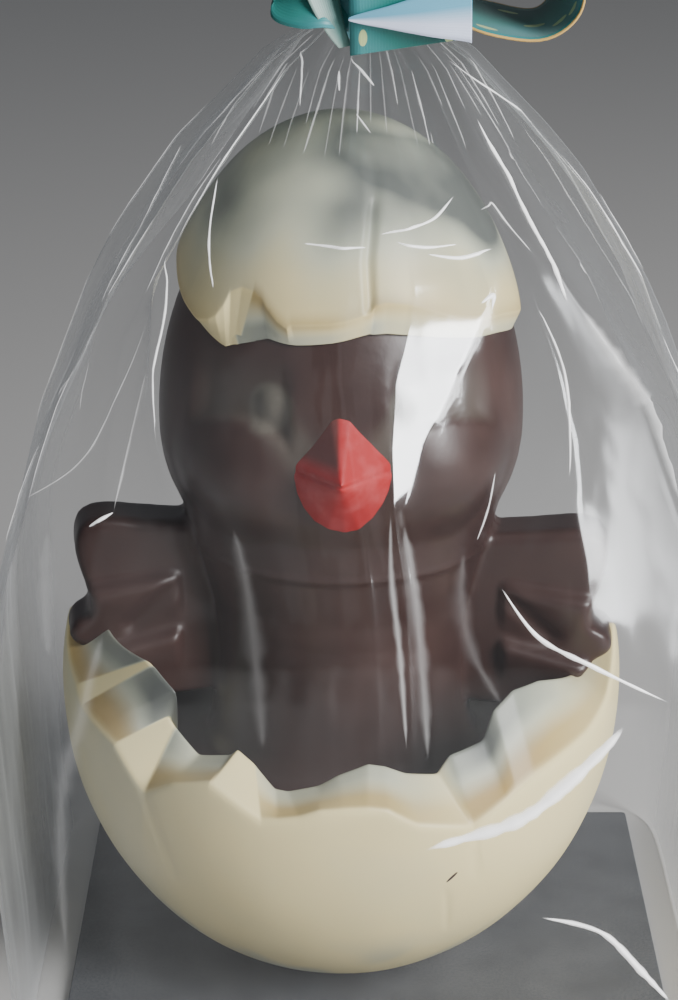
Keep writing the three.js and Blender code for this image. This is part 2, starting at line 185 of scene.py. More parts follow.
# Corners of the broken edge, round from the back: outer angle and height, inner angle and height, and how grey the
# face between them is painted: partly the thin coat, and partly painted shade on faces turned from the light.
SHELL_TEETH = [
    (-180, 60, -180, 63, 0.7),
    (-158, 67, -158, 71, 0.7),
    (-136, 58, -136, 60, 0.7),
    (-112, 66, -112, 69, 0.7),
    (-89, 76, -90, 76, 0.4),
    (-79, 70.3, -76, 76, 0.9),
    (-69.5, 67, -51, 77, 0.9),
    (-69, 66.7, -50, 77, 0),
    (-65.4, 64.1, -49, 76.7, 0),
    (-65, 64, -48, 76.5, 0.9),
    (-58, 62.7, -41, 73.3, 1),
    (-51.6, 61.6, -43, 67.6, 0.9),
    (-51, 61.4, -43.4, 67.2, 0),
    (-42.6, 54, -42, 66, 0),
    (-42, 54, -41, 65.5, 0.8),
    (-34.9, 58.3, -34.6, 61.5, 0.6),
    (-26, 61, -25.8, 63.2, 0.7),
    (-25.5, 60.6, -24, 64.6, 0),
    (-15.4, 54.7, -20.5, 62.6, 0),
    (-15, 54.7, -19.8, 62, 0.5),
    (-12, 55.3, -15.3, 57.6, 0.7),
    (-8, 56.2, -12.2, 57.3, 0.7),
    (-4.2, 57.8, -5, 59, 0.6),
    (0.5, 58.2, -0.7, 61.4, 0.6),
    (5, 58.1, 6.1, 63.7, 0.7),
    (9, 57.5, 10, 63, 0.7),
    (15.2, 53.6, 14.7, 61.2, 0.5),
    (26.2, 51.2, 22.3, 60, 0.3),
    (27.2, 51.2, 25.4, 63.6, 0.9),
    (34, 55, 34.6, 64.8, 1),
    (36.5, 56.2, 37.4, 70.6, 1),
    (41, 58, 43.4, 73.4, 1),
    (48, 59.4, 53, 72.6, 0.8),
    (58, 61, 64, 69.5, 0.6),
    (69, 65, 74, 66.6, 0.3),
    (76, 70, 80, 69.6, 0.2),
    (83, 74.5, 86, 74, 0.3),
    (92, 71, 93, 71, 0.7),
    (104, 60, 104, 64, 0.7),
    (126, 66, 126, 71, 0.7),
    (152, 57, 152, 60, 0.7),
    (180, 60, 180, 63, 0.7),
]
# Cracks run down the outside: depth and half width, then points by angle and height.
SHELL_CRACKS = [
    (0.6, 1.4, [(-42.3, 55), (-40.1, 47.2), (-38.5, 36.8)]),
    (0.45, 1.1, [(26.9, 52), (27.6, 46), (29.2, 39.5)]),
    (0.35, 1.0, [(23.1, 36), (26.3, 26)]),
]
CAST_WAVE = 15 * MM
CAST_WAVE_DEPTH = 0.18 * MM
IVORY = "F5E5AA"
IVORY_SHADE = "AE9152"
IVORY_THIN_AND_SHADE = "9DB0B2"
IVORY_BARE_AND_SHADE = "626662"
CAST_PORE = 0.9 * MM
CAST_SWIRL = 26 * MM


def lerp(a, b, t):
    return a + (b - a) * t


def rise(value, low, high):
    """Smoothly from 0 at low to 1 at high."""
    t = min(max((value - low) / (high - low), 0), 1)
    return t * t * (3 - 2 * t)


def along(rows, share):
    """A row of the table at a share of the way along it, in straight lines between the rows."""
    place = min(share, 1) * (len(rows) - 1)
    index = min(int(place), len(rows) - 2)
    return [lerp(a, b, place - index) for a, b in zip(rows[index], rows[index + 1])]


def round_axis(angle, radius, z, axis=Vector()):
    """A point round an upright axis. The angle is in degrees from straight ahead to the right."""
    turn = math.radians(angle)
    return axis + Vector((radius * math.sin(turn), -radius * math.cos(turn), z))


def oval_radius(radius, middle_z, end_z, z):
    return radius * math.sqrt(max(0, 1 - ((z - middle_z) / (end_z - middle_z)) ** 2))


def shaped_grid(name, columns, rows, place, looks=None):
    """A sheet of columns by rows whose points are put by place(across, up), each from 0 to 1.
    Looks are values from 0 to 1 that are stored on the points in the same way.
    Where its edges meet they are merged."""
    obj = primitive(bpy.ops.mesh.primitive_grid_add, name, x_subdivisions=columns, y_subdivisions=rows,
                    size=2, calc_uvs=True)
    shares = [((vertex.co.x + 1) / 2, (vertex.co.y + 1) / 2) for vertex in obj.data.vertices]
    for vertex, share in zip(obj.data.vertices, shares):
        vertex.co = place(*share)
    for look, value_at in (looks or {}).items():
        values = obj.data.attributes.new(look, "FLOAT", "POINT")
        for item, share in zip(values.data, shares):
            item.value = min(max(value_at(*share), 0), 1)
    bpy.ops.object.mode_set(mode="EDIT")
    bpy.ops.mesh.select_all(action="SELECT")
    bpy.ops.mesh.remove_doubles(threshold=0.01 * MM)
    bpy.ops.object.mode_set(mode="OBJECT")
    return obj


def face_outwards(obj):
    select_only(obj)
    bpy.ops.object.mode_set(mode="EDIT")
    bpy.ops.mesh.select_all(action="SELECT")
    bpy.ops.mesh.normals_make_consistent(inside=False)
    bpy.ops.object.mode_set(mode="OBJECT")


def cast_edges(obj, softening):
    """Rounds a shape's edges as a mould does, and shades it smooth."""
    face_outwards(obj)
    apply_modifier(obj, "SMOOTH", factor=0.5, iterations=softening)
    select_only(obj)
    bpy.ops.object.shade_smooth()


def distance_to_line(here, points):
    """How far a flat point is from the line through these points."""
    nearest = math.inf
    for start, end in zip(points, points[1:]):
        share = min(max((here - start).dot(end - start) / (end - start).length_squared, 0), 1)
        nearest = min(nearest, (here - start.lerp(end, share)).length)
    return nearest


def groove(angle, z, radius, cracks):
    """How deep the cracks cut in at this angle and height, in millimetres."""
    here = Vector((math.radians(angle) * radius, z))
    deepest = 0
    for depth, half_width, points in cracks:
        route = [Vector((math.radians(a) * radius, height)) for a, height in points]
        deepest = max(deepest, depth * (1 - rise(distance_to_line(here, route), 0, half_width)))
    return deepest


def uneven(point):
    """A point of a cast surface, with the slight waves that hand pouring leaves in it."""
    return point + noise.noise_vector(point / CAST_WAVE) * CAST_WAVE_DEPTH


def shell_place(across, up):
    """The shell's section from its foot, up outside, over the broken edge and down inside."""
    outer_angle, outer_z, inner_angle, inner_z, grey = along(SHELL_TEETH, across)
    around = lerp(-180, 180, across)
    pole_z = 2 * SHELL_FOOT_Z - SHELL_WAIST_Z + (SHELL_WAIST_Z - SHELL_FOOT_Z) * math.sqrt(
        1 - (SHELL_FOOT_RADIUS / SHELL_RADIUS) ** 2)
    if up < SHELL_EDGE:
        t = up / SHELL_EDGE
        start = math.asin((SHELL_FOOT_Z - SHELL_WAIST_Z) / (SHELL_WAIST_Z - pole_z))
        end = math.asin((outer_z * MM - SHELL_WAIST_Z) / (SHELL_WAIST_Z - pole_z))
        tilt = lerp(start, end, t)
        angle = lerp(around, outer_angle, t)
        z = SHELL_WAIST_Z + (SHELL_WAIST_Z - pole_z) * math.sin(tilt)
        cut = groove(angle, z / MM, SHELL_RADIUS / MM, SHELL_CRACKS) * MM
        return uneven(round_axis(angle, SHELL_RADIUS * math.cos(tilt) - cut, z, FIGURE))
    outer = round_axis(outer_angle, oval_radius(SHELL_RADIUS, SHELL_WAIST_Z, pole_z, outer_z * MM),
                       outer_z * MM, FIGURE)
    inner = round_axis(inner_angle, SHELL_INSIDE, inner_z * MM, FIGURE)
    if up < SHELL_BREAK_END:
        return uneven(outer.lerp(inner, (up - SHELL_EDGE) / (SHELL_BREAK_END - SHELL_EDGE)))
    floor = round_axis(inner_angle, SHELL_INSIDE, SHELL_FLOOR_Z, FIGURE)
    return uneven(inner.lerp(floor, (up - SHELL_BREAK_END) / (1 - SHELL_BREAK_END)))


def shell_thin_and_shade(across, up):
    """Grey rises over the broken face, and lies in clouds low on the outside; the grey laid thinly on its left is
    painted shade.
    """
    grey = along(SHELL_TEETH, across)[4]
    face = (up - SHELL_EDGE) / (SHELL_BREAK_END - SHELL_EDGE)
    clouds = noise.noise(shell_place(across, up) / (14 * MM))
    if up < SHELL_EDGE:
        # Painted shade: the left side, away from the light, is greyed.
        left = 0.35 * rise(lerp(180, -180, across), 35, 75)
        return left + 0.55 * rise(clouds, 0.0, 0.45) * (1 - rise(up, 0.18, 0.36))
    return 0.95 * grey * rise(face, 0.15, 0.75) + 0.15 * clouds


def shell_edge_shade(across, up):
    """Painted shade: yellow-brown just inside the outer edge, and a little near the foot under the shell."""
    grey = along(SHELL_TEETH, across)[4]
    face = (up - SHELL_EDGE) / (SHELL_BREAK_END - SHELL_EDGE)
    return grey * rise(face, 0.02, 0.12) * (1 - rise(face, 0.3, 0.7)) + 0.3 * (1 - rise(up, 0, 0.12))


def close_ends(obj):
    """Fills the open edges of a shape with flat faces."""
    select_only(obj)
    bpy.ops.object.mode_set(mode="EDIT")
    bpy.ops.mesh.select_mode(type="EDGE")
    bpy.ops.mesh.select_all(action="DESELECT")
    bpy.ops.mesh.select_non_manifold()
    bpy.ops.mesh.fill()
    bpy.ops.object.mode_set(mode="OBJECT")


def white_chocolate():
    # White chocolate from a plastic mould: satin, faintly pored, ivory where thick. Where the coat is thin
    # the dark chocolate behind turns it grey.
    # Painted shade: the thin mask also greys sides and faces turned from the light, and the fold mask yellows the
    # edges.
    material = new_material("moulded white chocolate")
    place = add_node(material, "ShaderNodeTexCoord").outputs["Object"]
    thin_coat_and_shade = add_node(material, "ShaderNodeAttribute", {"attribute_name": "thin_coat_and_shade"}).outputs["Fac"]
    fold = add_node(material, "ShaderNodeAttribute", {"attribute_name": "fold"}).outputs["Fac"]
    swirl = add_node(material, "ShaderNodeTexNoise", {"Scale": per_size(CAST_SWIRL), "Detail": 3}, Vector=place)
    pore = add_node(material, "ShaderNodeTexNoise", {"Scale": per_size(CAST_PORE), "Detail": 2}, Vector=place)
    patchy = add_node(material, "ShaderNodeMath", {"operation": "MULTIPLY_ADD", 1: 0.5, 2: -0.25},
                      n0=swirl.outputs["Fac"])
    thin_coat_and_shade_here = add_node(material, "ShaderNodeMath", {"operation": "ADD", "use_clamp": True},
                         n0=thin_coat_and_shade, n1=patchy.outputs[0])
    # Painted shade: the fold mask yellows the ivory along the broken edges and at the shell's foot.
    ivory_with_edge_shade = add_node(material, "ShaderNodeMix", {"data_type": "RGBA", 6: colour(IVORY), 7: colour(IVORY_SHADE)},
                    n0=fold)
    dark_behind = ramp(material, thin_coat_and_shade_here.outputs[0], [(0.6, IVORY_THIN_AND_SHADE), (1, IVORY_BARE_AND_SHADE)])
    tint = add_node(material, "ShaderNodeMix", {"data_type": "RGBA"},
                    n0=thin_coat_and_shade_here.outputs[0], n6=ivory_with_edge_shade.outputs[2], n7=dark_behind)
    bump = add_node(material, "ShaderNodeBump", {"Strength": 0.12, "Distance": 0.15 * MM},
                    Height=pore.outputs["Fac"])
    shader = add_node(material, "ShaderNodeBsdfPrincipled", {"Roughness": 0.42, "IOR": 1.46},
                      Base_Color=tint.outputs[2], Normal=bump.outputs["Normal"])
    add_node(material, "ShaderNodeOutputMaterial", Surface=shader.outputs["BSDF"])
    return material


shell = shaped_grid("lower_eggshell", 12 * (len(SHELL_TEETH) - 1), 100, shell_place,
                    {"thin_coat_and_shade": shell_thin_and_shade, "fold": shell_edge_shade})
close_ends(shell)
cast_edges(shell, 9)
ivory_cast = white_chocolate()
shell.data.materials.append(ivory_cast)
finish_piece(shell, "white_chocolate", "egg_shell")

# ---- Chick ----
# Head, chest and spread wings, cast in one with the egg in dark chocolate from a two-part plastic mould.
# Cheeks bulge under a crisp fold, the eyes are small domes, and the wings have broad feathers.
HEAD_RADIUS = 35.5 * MM
HEAD_MIDDLE_Z = 117 * MM
HEAD_TOP_Z = 167 * MM
CAST_VOXEL = 0.75 * MM
CROWN_STEPS = 20
# Radius and height from under the head's widest place, down the neck and chest to the floor in the shell.
CHEST = [(35.5, 117), (35.4, 113), (34.8, 109), (33.8, 105.5), (32.5, 102.5), (31.4, 100), (30.6, 97),
         (30, 94), (29.2, 91), (28.2, 87), (27, 82), (26.2, 76), (26, 66), (26, 57), (26.4, 52), (27.6, 49),
         (30, 47.5), (35, 47), (47.6, 47), (48, 43), (0, 42.5)]
COLLAR_Z = 92.5 * MM
COLLAR_STAND = 0.4 * MM
COLLAR_HALF = 1.1 * MM
CHEEK_STAND = 2.9 * MM
CHEEK_ANGLE = 38
CHEEK_Z = 113
CHEEK_HALF_WIDTH = 18
CHEEK_HALF_HEIGHT = 15
EYE_RADIUS = 5 * MM
EYE_ANGLE = 23
EYE_Z = 127.6 * MM
EYE_SINK = 4 * MM
EYE_COAT_RADIUS = 4.8 * MM
SOCKET_DEPTH = 1.5 * MM
SMEAR_END = (10, 118)
# The fold over each cheek, by angle and height: it rises from the beak's corner and runs out to the side.
CHEEK_FOLD = [(8, 113), (13.7, 117.7), (18.2, 121), (25.4, 123.3), (35.7, 123.8), (46.7, 122.4), (60, 119)]
WING_THICK = 12 * MM
WING_SWEEP = 8
WING_OUTLINE_STEPS = 90
LEFT_WING_LIFT = 2.5 * MM
# Points of a wing's outline, across from the axis and up.
WING = [(16, 60), (34, 58), (44, 60.5), (48.5, 64.5), (50.5, 68), (54.3, 71), (53.5, 74.5), (50.6, 76.5),
        (50.4, 80), (52, 85.5), (52.8, 90), (51.6, 94.5), (47, 96.2), (38, 95.2), (27, 94), (16, 93), (16, 60)]
# Each feather row's ledge: its height, and how much it falls for each millimetre outwards.
WING_LEDGES = [(85, 0.12), (73, 0.25)]
WING_GROOVE = [(31, 83.5), (36, 79), (41, 74)]
FLECK_ANGLE = 23.3
FLECK_Z = 40.3 * MM
DARK = "2F1C19"
DARK_BLOOM = "4A342F"
EYE_COAT_AND_REFLECTION = "8A8D80"
BLOOM_CLOUD = 22 * MM


def head_radius(z):
    return oval_radius(HEAD_RADIUS, HEAD_MIDDLE_Z, HEAD_TOP_Z, z)


def in_head(angle, z, sink):
    return round_axis(angle, head_radius(z) - sink, z, FIGURE)


def spun(name, profile, steps):
    """Turns a line of (radius, height) points once round the figure's axis."""
    obj = primitive(bpy.ops.mesh.primitive_plane_add, name, size=MM)
    bpy.ops.object.mode_set(mode="EDIT")
    bpy.ops.mesh.select_mode(type="VERT")
    bpy.ops.mesh.select_all(action="SELECT")
    bpy.ops.mesh.merge(type="CENTER")
    bpy.ops.transform.translate(value=round_axis(0, profile[0][0] * MM, profile[0][1] * MM, FIGURE))
    for (r_from, z_from), (r_to, z_to) in zip(profile, profile[1:]):
        step = (0, -(r_to - r_from) * MM, (z_to - z_from) * MM)
        bpy.ops.mesh.extrude_region_move(TRANSFORM_OT_translate={"value": step})
    bpy.ops.mesh.select_all(action="SELECT")
    bpy.ops.mesh.spin(steps=steps, angle=math.tau, center=FIGURE, axis=(0, 0, 1))
    bpy.ops.mesh.select_all(action="SELECT")
    bpy.ops.mesh.remove_doubles(threshold=0.01 * MM)
    bpy.ops.object.mode_set(mode="OBJECT")
    return obj


def join(target, others):
    bpy.ops.object.select_all(action="DESELECT")
    for obj in [*others, target]:
        obj.select_set(True)
    bpy.context.view_layer.objects.active = target
    bpy.ops.object.join()


def through(points, share):
    """A place on a smooth curve through the points."""
    place = min(share, 1) * (len(points) - 1)
    index = min(int(place), len(points) - 2)
    t = place - index
    p0, p1, p2, p3 = (points[min(max(index + k, 0), len(points) - 1)] for k in (-1, 0, 1, 2))
    return [0.5 * (2 * b + (c - a) * t + (2 * a - 5 * b + 4 * c - d) * t * t + (3 * b - a - 3 * c + d) * t ** 3)
            for a, b, c, d in zip(p0, p1, p2, p3)]


def outline_plate(name, points, thick, edge):
    """A plate with this outline, across and up in millimetres, whose edges are rounded."""
    plate = primitive(bpy.ops.mesh.primitive_circle_add, name, vertices=len(points), fill_type="NGON")
    for vertex, (x, z) in zip(plate.data.vertices, points):
        vertex.co = (x * MM, thick / 2, z * MM)
    bpy.ops.object.mode_set(mode="EDIT")
    bpy.ops.mesh.select_all(action="SELECT")
    bpy.ops.mesh.extrude_region_move(TRANSFORM_OT_translate={"value": (0, -thick, 0)})
    bpy.ops.object.mode_set(mode="OBJECT")
    face_outwards(plate)
    apply_modifier(plate, "BEVEL", width=edge, segments=4, limit_method="ANGLE", angle_limit=math.radians(50))
    return plate


def wing(side):
    outline = [through(WING, k / WING_OUTLINE_STEPS) for k in range(WING_OUTLINE_STEPS)]
    plate = outline_plate("wing", outline, WING_THICK, 3.5 * MM)
    if side < 0:
        plate.data.transform(Matrix.Scale(-1, 4, (1, 0, 0)))
        plate.data.transform(Matrix.Translation((0, 0, LEFT_WING_LIFT)))
    plate.data.transform(Matrix.Rotation(-side * math.radians(WING_SWEEP), 4, "Z"))
    plate.data.transform(Matrix.Translation(FIGURE))
    face_outwards(plate)
    return plate


def feathers(out, up):
    """How far a wing's face stands out: it bulges under each ledge, and falls back to the next."""
    stand = 0
    for ledge_z, fall in WING_LEDGES:
        below = ledge_z - fall * (out - 33) - up
        stand = max(stand, 2.4 * rise(below, 0, 1.4) * (1 - rise(below, 2, 12)))
    cut = 1.2 * (1 - rise(distance_to_line(Vector((out, up)), [Vector(p) for p in WING_GROOVE]), 0, 2.8))
    return (stand - cut) * rise(out, 27, 31) * MM


def table_value(rows, place, column=1):
    """A value between the table's rows, whose first column rises."""
    for before, after in zip(rows, rows[1:]):
        if place <= after[0]:
            return lerp(before[column], after[column], (place - before[0]) / (after[0] - before[0]))
    return rows[-1][column]


def socket(angle, up):
    """How much of the eye socket's hollow is here: sharp at the cheek's fold, and fading upwards."""
    fold = table_value(CHEEK_FOLD, max(angle, CHEEK_FOLD[0][0]))
    upright = rise(up, fold, fold + 1.7) * (1 - rise(up, 126, 139))
    return upright * rise(angle, 14, 20) * (1 - rise(angle, 46, 56))


def cheek(angle, up):
    """How much of the cheek's bulge is here: it swells out of the head and melts back into it."""
    out = ((angle - CHEEK_ANGLE) * math.radians(HEAD_RADIUS / MM) / CHEEK_HALF_WIDTH) ** 2
    out += ((up - CHEEK_Z) / CHEEK_HALF_HEIGHT) ** 2
    return max(0, 1 - out) ** 2


def eye_coat_and_socket_reflection(angle, up, to_eye):
    """The pale dab on the eye, the smear from it to the beak, and a trace all over the socket, which is painted
    reflection.
    """
    here = Vector((math.radians(angle) * HEAD_RADIUS / MM, up))
    smear = [Vector((math.radians(a) * HEAD_RADIUS / MM, z)) for a, z in ((EYE_ANGLE, EYE_Z / MM), SMEAR_END)]
    return max(0.3 * (1 - rise(to_eye, EYE_COAT_RADIUS - MM, EYE_COAT_RADIUS + 1.2 * MM)),
               0.17 * (1 - rise(distance_to_line(here, smear), 1.5, 5.5)), 0.15 * socket(angle, up))


def cast_in_one(obj, voxel, softening):
    """Melts the pieces of a mesh into one skin, and rounds its edges."""
    face_outwards(obj)
    apply_modifier(obj, "REMESH", mode="VOXEL", voxel_size=voxel)
    cast_edges(obj, softening)


def dark_chocolate():
    # Dark chocolate from a plastic mould: deep brown, a low shine, and a faint grey cloud of bloom.
    # The eyes were dabbed with white chocolate first, and show through the dark as a dull green-grey. The faint
    # paling over the sockets is painted reflection.
    material = new_material("moulded dark chocolate")
    place = add_node(material, "ShaderNodeTexCoord").outputs["Object"]
    pale = add_node(material, "ShaderNodeAttribute", {"attribute_name": "pale"}).outputs["Fac"]
    cloud = add_node(material, "ShaderNodeTexNoise", {"Scale": per_size(BLOOM_CLOUD), "Detail": 3}, Vector=place)
    pore = add_node(material, "ShaderNodeTexNoise", {"Scale": per_size(CAST_PORE), "Detail": 1}, Vector=place)
    brown = ramp(material, cloud.outputs["Fac"], [(0.35, DARK), (0.8, DARK_BLOOM)])
    tint = add_node(material, "ShaderNodeMix", {"data_type": "RGBA", 7: colour(EYE_COAT_AND_REFLECTION)}, n0=pale, n6=brown)
    rough = add_node(material, "ShaderNodeMapRange", {1: 0.3, 2: 0.7, 3: 0.3, 4: 0.42}, n0=cloud.outputs["Fac"])
    bump = add_node(material, "ShaderNodeBump", {"Strength": 0.15, "Distance": 0.12 * MM},
                    Height=pore.outputs["Fac"])
    shader = add_node(material, "ShaderNodeBsdfPrincipled", {"IOR": 1.48}, Base_Color=tint.outputs[2],
                      Roughness=rough.outputs[0], Normal=bump.outputs["Normal"])
    add_node(material, "ShaderNodeOutputMaterial", Surface=shader.outputs["BSDF"])
    return material


crown = []
for step in range(CROWN_STEPS):
    lean = math.radians(90 * step / CROWN_STEPS)
    crown_height = HEAD_MIDDLE_Z + (HEAD_TOP_Z - HEAD_MIDDLE_Z) * math.cos(lean)
    crown.append((HEAD_RADIUS * math.sin(lean) / MM, crown_height / MM))
chick = spun("chick", crown + CHEST, 120)
parts = []
for side in (-1, 1):
    eye = primitive(bpy.ops.mesh.primitive_uv_sphere_add, "eye", segments=48, ring_count=24,
                    radius=EYE_RADIUS, location=in_head(side * EYE_ANGLE, EYE_Z, EYE_SINK))
    apply_place(eye)
    parts += [eye, wing(side)]
join(chick, parts)
cast_in_one(chick, CAST_VOXEL, 3)
pale = chick.data.attributes.new("pale", "FLOAT", "POINT")
facing = [vertex.normal.y for vertex in chick.data.vertices]
for vertex, coat_and_reflection, forward in zip(chick.data.vertices, pale.data, facing):
    flat = vertex.co - FIGURE
    reach = math.hypot(flat.x, flat.y)
    side = 1 if flat.x > 0 else -1
    angle = abs(math.degrees(math.atan2(flat.x, -flat.y)))
    outward = Vector((flat.x, flat.y, 0)).normalized()
    up = vertex.co.z / MM
    if up > CHEEK_Z - CHEEK_HALF_HEIGHT and reach < HEAD_RADIUS + MM and angle < 80:
        # Painted reflection: the socket trace pales the chocolate where it faces the light.
        coat_and_reflection.value = eye_coat_and_socket_reflection(angle, up, (vertex.co - in_head(side * EYE_ANGLE, EYE_Z, 0)).length)
        vertex.co += outward * (CHEEK_STAND * cheek(angle, up) - SOCKET_DEPTH * socket(angle, up))
    elif reach > 33 * MM and vertex.co.z < 101 * MM:
        lift = LEFT_WING_LIFT if side < 0 else 0
        vertex.co.y += feathers(abs(flat.x) / MM, (vertex.co.z - lift) / MM) * forward
    elif reach > 25 * MM:
        vertex.co += outward * COLLAR_STAND * (1 - rise(abs(vertex.co.z - COLLAR_Z), 0, COLLAR_HALF))
cast_edges(chick, 4)
dark_cast = dark_chocolate()
chick.data.materials.append(dark_cast)
finish_piece(chick, "dark_chocolate", "chick_body")

fleck = primitive(bpy.ops.mesh.primitive_uv_sphere_add, "chocolate_fleck", segments=16, ring_count=8, radius=MM)
fleck.data.transform(Matrix.Diagonal((0.3, 0.12, 1.5, 1)))
fleck.data.transform(Matrix.Rotation(math.radians(40), 4, "Y"))
fleck.data.transform(Matrix.Rotation(math.radians(20), 4, "X"))
fleck.data.transform(Matrix.Rotation(math.radians(FLECK_ANGLE), 4, "Z"))
fleck_reach = oval_radius(SHELL_RADIUS, SHELL_WAIST_Z, -MM, FLECK_Z)
fleck.data.transform(Matrix.Translation(round_axis(FLECK_ANGLE, fleck_reach, FLECK_Z, FIGURE)))
fleck.data.materials.append(dark_cast)
finish_piece(fleck, "dark_chocolate", "egg_shell")

# ---- Beak ----
# A short pointed beak, poured in red-tinted white chocolate before the dark: a ridged upper half with
# straight sides, a rounder lower half, and a shut mouth between them.
BEAK_TIP = Vector((0, -HEAD_RADIUS - 9 * MM, 117 * MM)) + FIGURE
BEAK_BASE_Y = -22 * MM + FIGURE.y
# Corners of the beak where it meets the head, across and up from the tip, all round from its top.
BEAK_CORNERS = [(-0.6, 10.2), (-1.9, 9.6), (-8.4, 0.8), (-8.8, -1.6), (-8.2, -4.6), (-6.7, -7.4), (-4.6, -9.7),
                (-2.2, -11), (0.6, -11.5), (3, -11), (5.4, -9.2), (7.4, -6.8), (8.8, -4.2), (9.4, -1.4),
                (9, 1), (5.6, 5.3), (1.6, 9.7)]
BEAK_STEP = 2.6 * MM
BEAK_VOXEL = 0.35 * MM
BEAK_RED = "AE2527"
BEAK_PALE = "C45456"
BEAK_SHADE = "5A3C38"


def red_chocolate():
    # Red-tinted white chocolate: satin, strong in colour, with pale bloom where the film has rubbed it.
    # The upper left facet, turned from the light, is painted brown as painted shade.
    material = new_material("red-tinted chocolate")
    place = add_node(material, "ShaderNodeTexCoord").outputs["Object"]
    left_facet_shade = add_node(material, "ShaderNodeAttribute", {"attribute_name": "left_facet_shade"}).outputs["Fac"]
    cloud = add_node(material, "ShaderNodeTexNoise", {"Scale": per_size(5 * MM), "Detail": 5}, Vector=place)
    pore = add_node(material, "ShaderNodeTexNoise", {"Scale": per_size(CAST_PORE), "Detail": 3}, Vector=place)
    red = ramp(material, cloud.outputs["Fac"], [(0.45, BEAK_RED), (0.85, BEAK_PALE)])
    tint = add_node(material, "ShaderNodeMix", {"data_type": "RGBA", 7: colour(BEAK_SHADE)}, n0=left_facet_shade, n6=red)
    bump = add_node(material, "ShaderNodeBump", {"Strength": 0.2, "Distance": 0.15 * MM},
                    Height=pore.outputs["Fac"])
    shader = add_node(material, "ShaderNodeBsdfPrincipled", {
        "Roughness": 0.5, "IOR": 1.46, "Subsurface Weight": 0.15,
        "Subsurface Radius": (1.0, 0.3, 0.2), "Subsurface Scale": 1.5 * MM,
    }, Base_Color=tint.outputs[2], Normal=bump.outputs["Normal"])
    add_node(material, "ShaderNodeOutputMaterial", Surface=shader.outputs["BSDF"])
    return material


beak = primitive(bpy.ops.mesh.primitive_cone_add, "beak_cast", vertices=len(BEAK_CORNERS), radius1=1, depth=1)
for vertex in beak.data.vertices:
    if vertex.co.z > 0:
        vertex.co = BEAK_TIP
for vertex, (x, z) in zip(beak.data.vertices, BEAK_CORNERS):
    spread = (BEAK_BASE_Y - BEAK_TIP.y) / (10 * MM)
    vertex.co = (FIGURE.x + x * MM * spread, BEAK_BASE_Y, BEAK_TIP.z + z * MM * spread)
face_outwards(beak)
slit = primitive(bpy.ops.mesh.primitive_cube_add, "slit", size=1,
                 location=BEAK_TIP + Vector((0, 4.5 * MM, -0.4 * MM)), scale=(40 * MM, 11 * MM, 0.7 * MM))
apply_place(slit)
core = primitive(bpy.ops.mesh.primitive_cone_add, "core", vertices=4, radius1=9 * MM, depth=20 * MM,
                 rotation=(math.radians(90), 0, 0), location=BEAK_TIP + Vector((0, 11.2 * MM, -0.4 * MM)))
apply_place(core)
apply_modifier(slit, "BOOLEAN", object=core, operation="DIFFERENCE", solver="EXACT")
apply_modifier(beak, "BOOLEAN", object=slit, operation="DIFFERENCE", solver="EXACT")
bpy.data.objects.remove(slit)
bpy.data.objects.remove(core)
select_only(beak)
bpy.ops.object.mode_set(mode="EDIT")
bpy.ops.mesh.select_all(action="SELECT")
bpy.ops.mesh.bisect(plane_co=(0, FIGURE.y - HEAD_RADIUS + BEAK_STEP, 0), plane_no=(0, 1, 0),
                    clear_outer=True, use_fill=True)
bpy.ops.object.mode_set(mode="OBJECT")
cast_in_one(beak, BEAK_VOXEL, 9)
# Painted shade: brown on the upper left facet, above the mouth.
left_facet_shade = beak.data.attributes.new("left_facet_shade", "FLOAT", "POINT")
for vertex, item in zip(beak.data.vertices, left_facet_shade.data):
    left_of_ridge = rise(BEAK_TIP.x - vertex.co.x, 0, 0.9 * MM)
    item.value = 0.85 * left_of_ridge * rise(vertex.co.z - BEAK_TIP.z, 0.5 * MM, 3.5 * MM)
beak.data.materials.append(red_chocolate())
finish_piece(beak, "red_chocolate", "beak")

# ---- Eggshell cap ----
# The broken-off top of the egg on the chick's head, in white chocolate with a zigzag edge cut on a bevel.
# It is coated thinly near the crown, where cool grey clouds of the dark chocolate show through. Its left side and
# the band above its edge are darkened with painted shade.
CAP_RADIUS = 37.4 * MM
CAP_MIDDLE_Z = 118 * MM
CAP_TOP_Z = 176 * MM
CAP_INSIDE = 34.6 * MM
CAP_INSIDE_TOP_Z = 165 * MM
# Shares of the cap's section, from its crown: where the broken face starts, and where it ends at the foot.
CAP_EDGE = 0.62
CAP_BREAK_END = 0.86
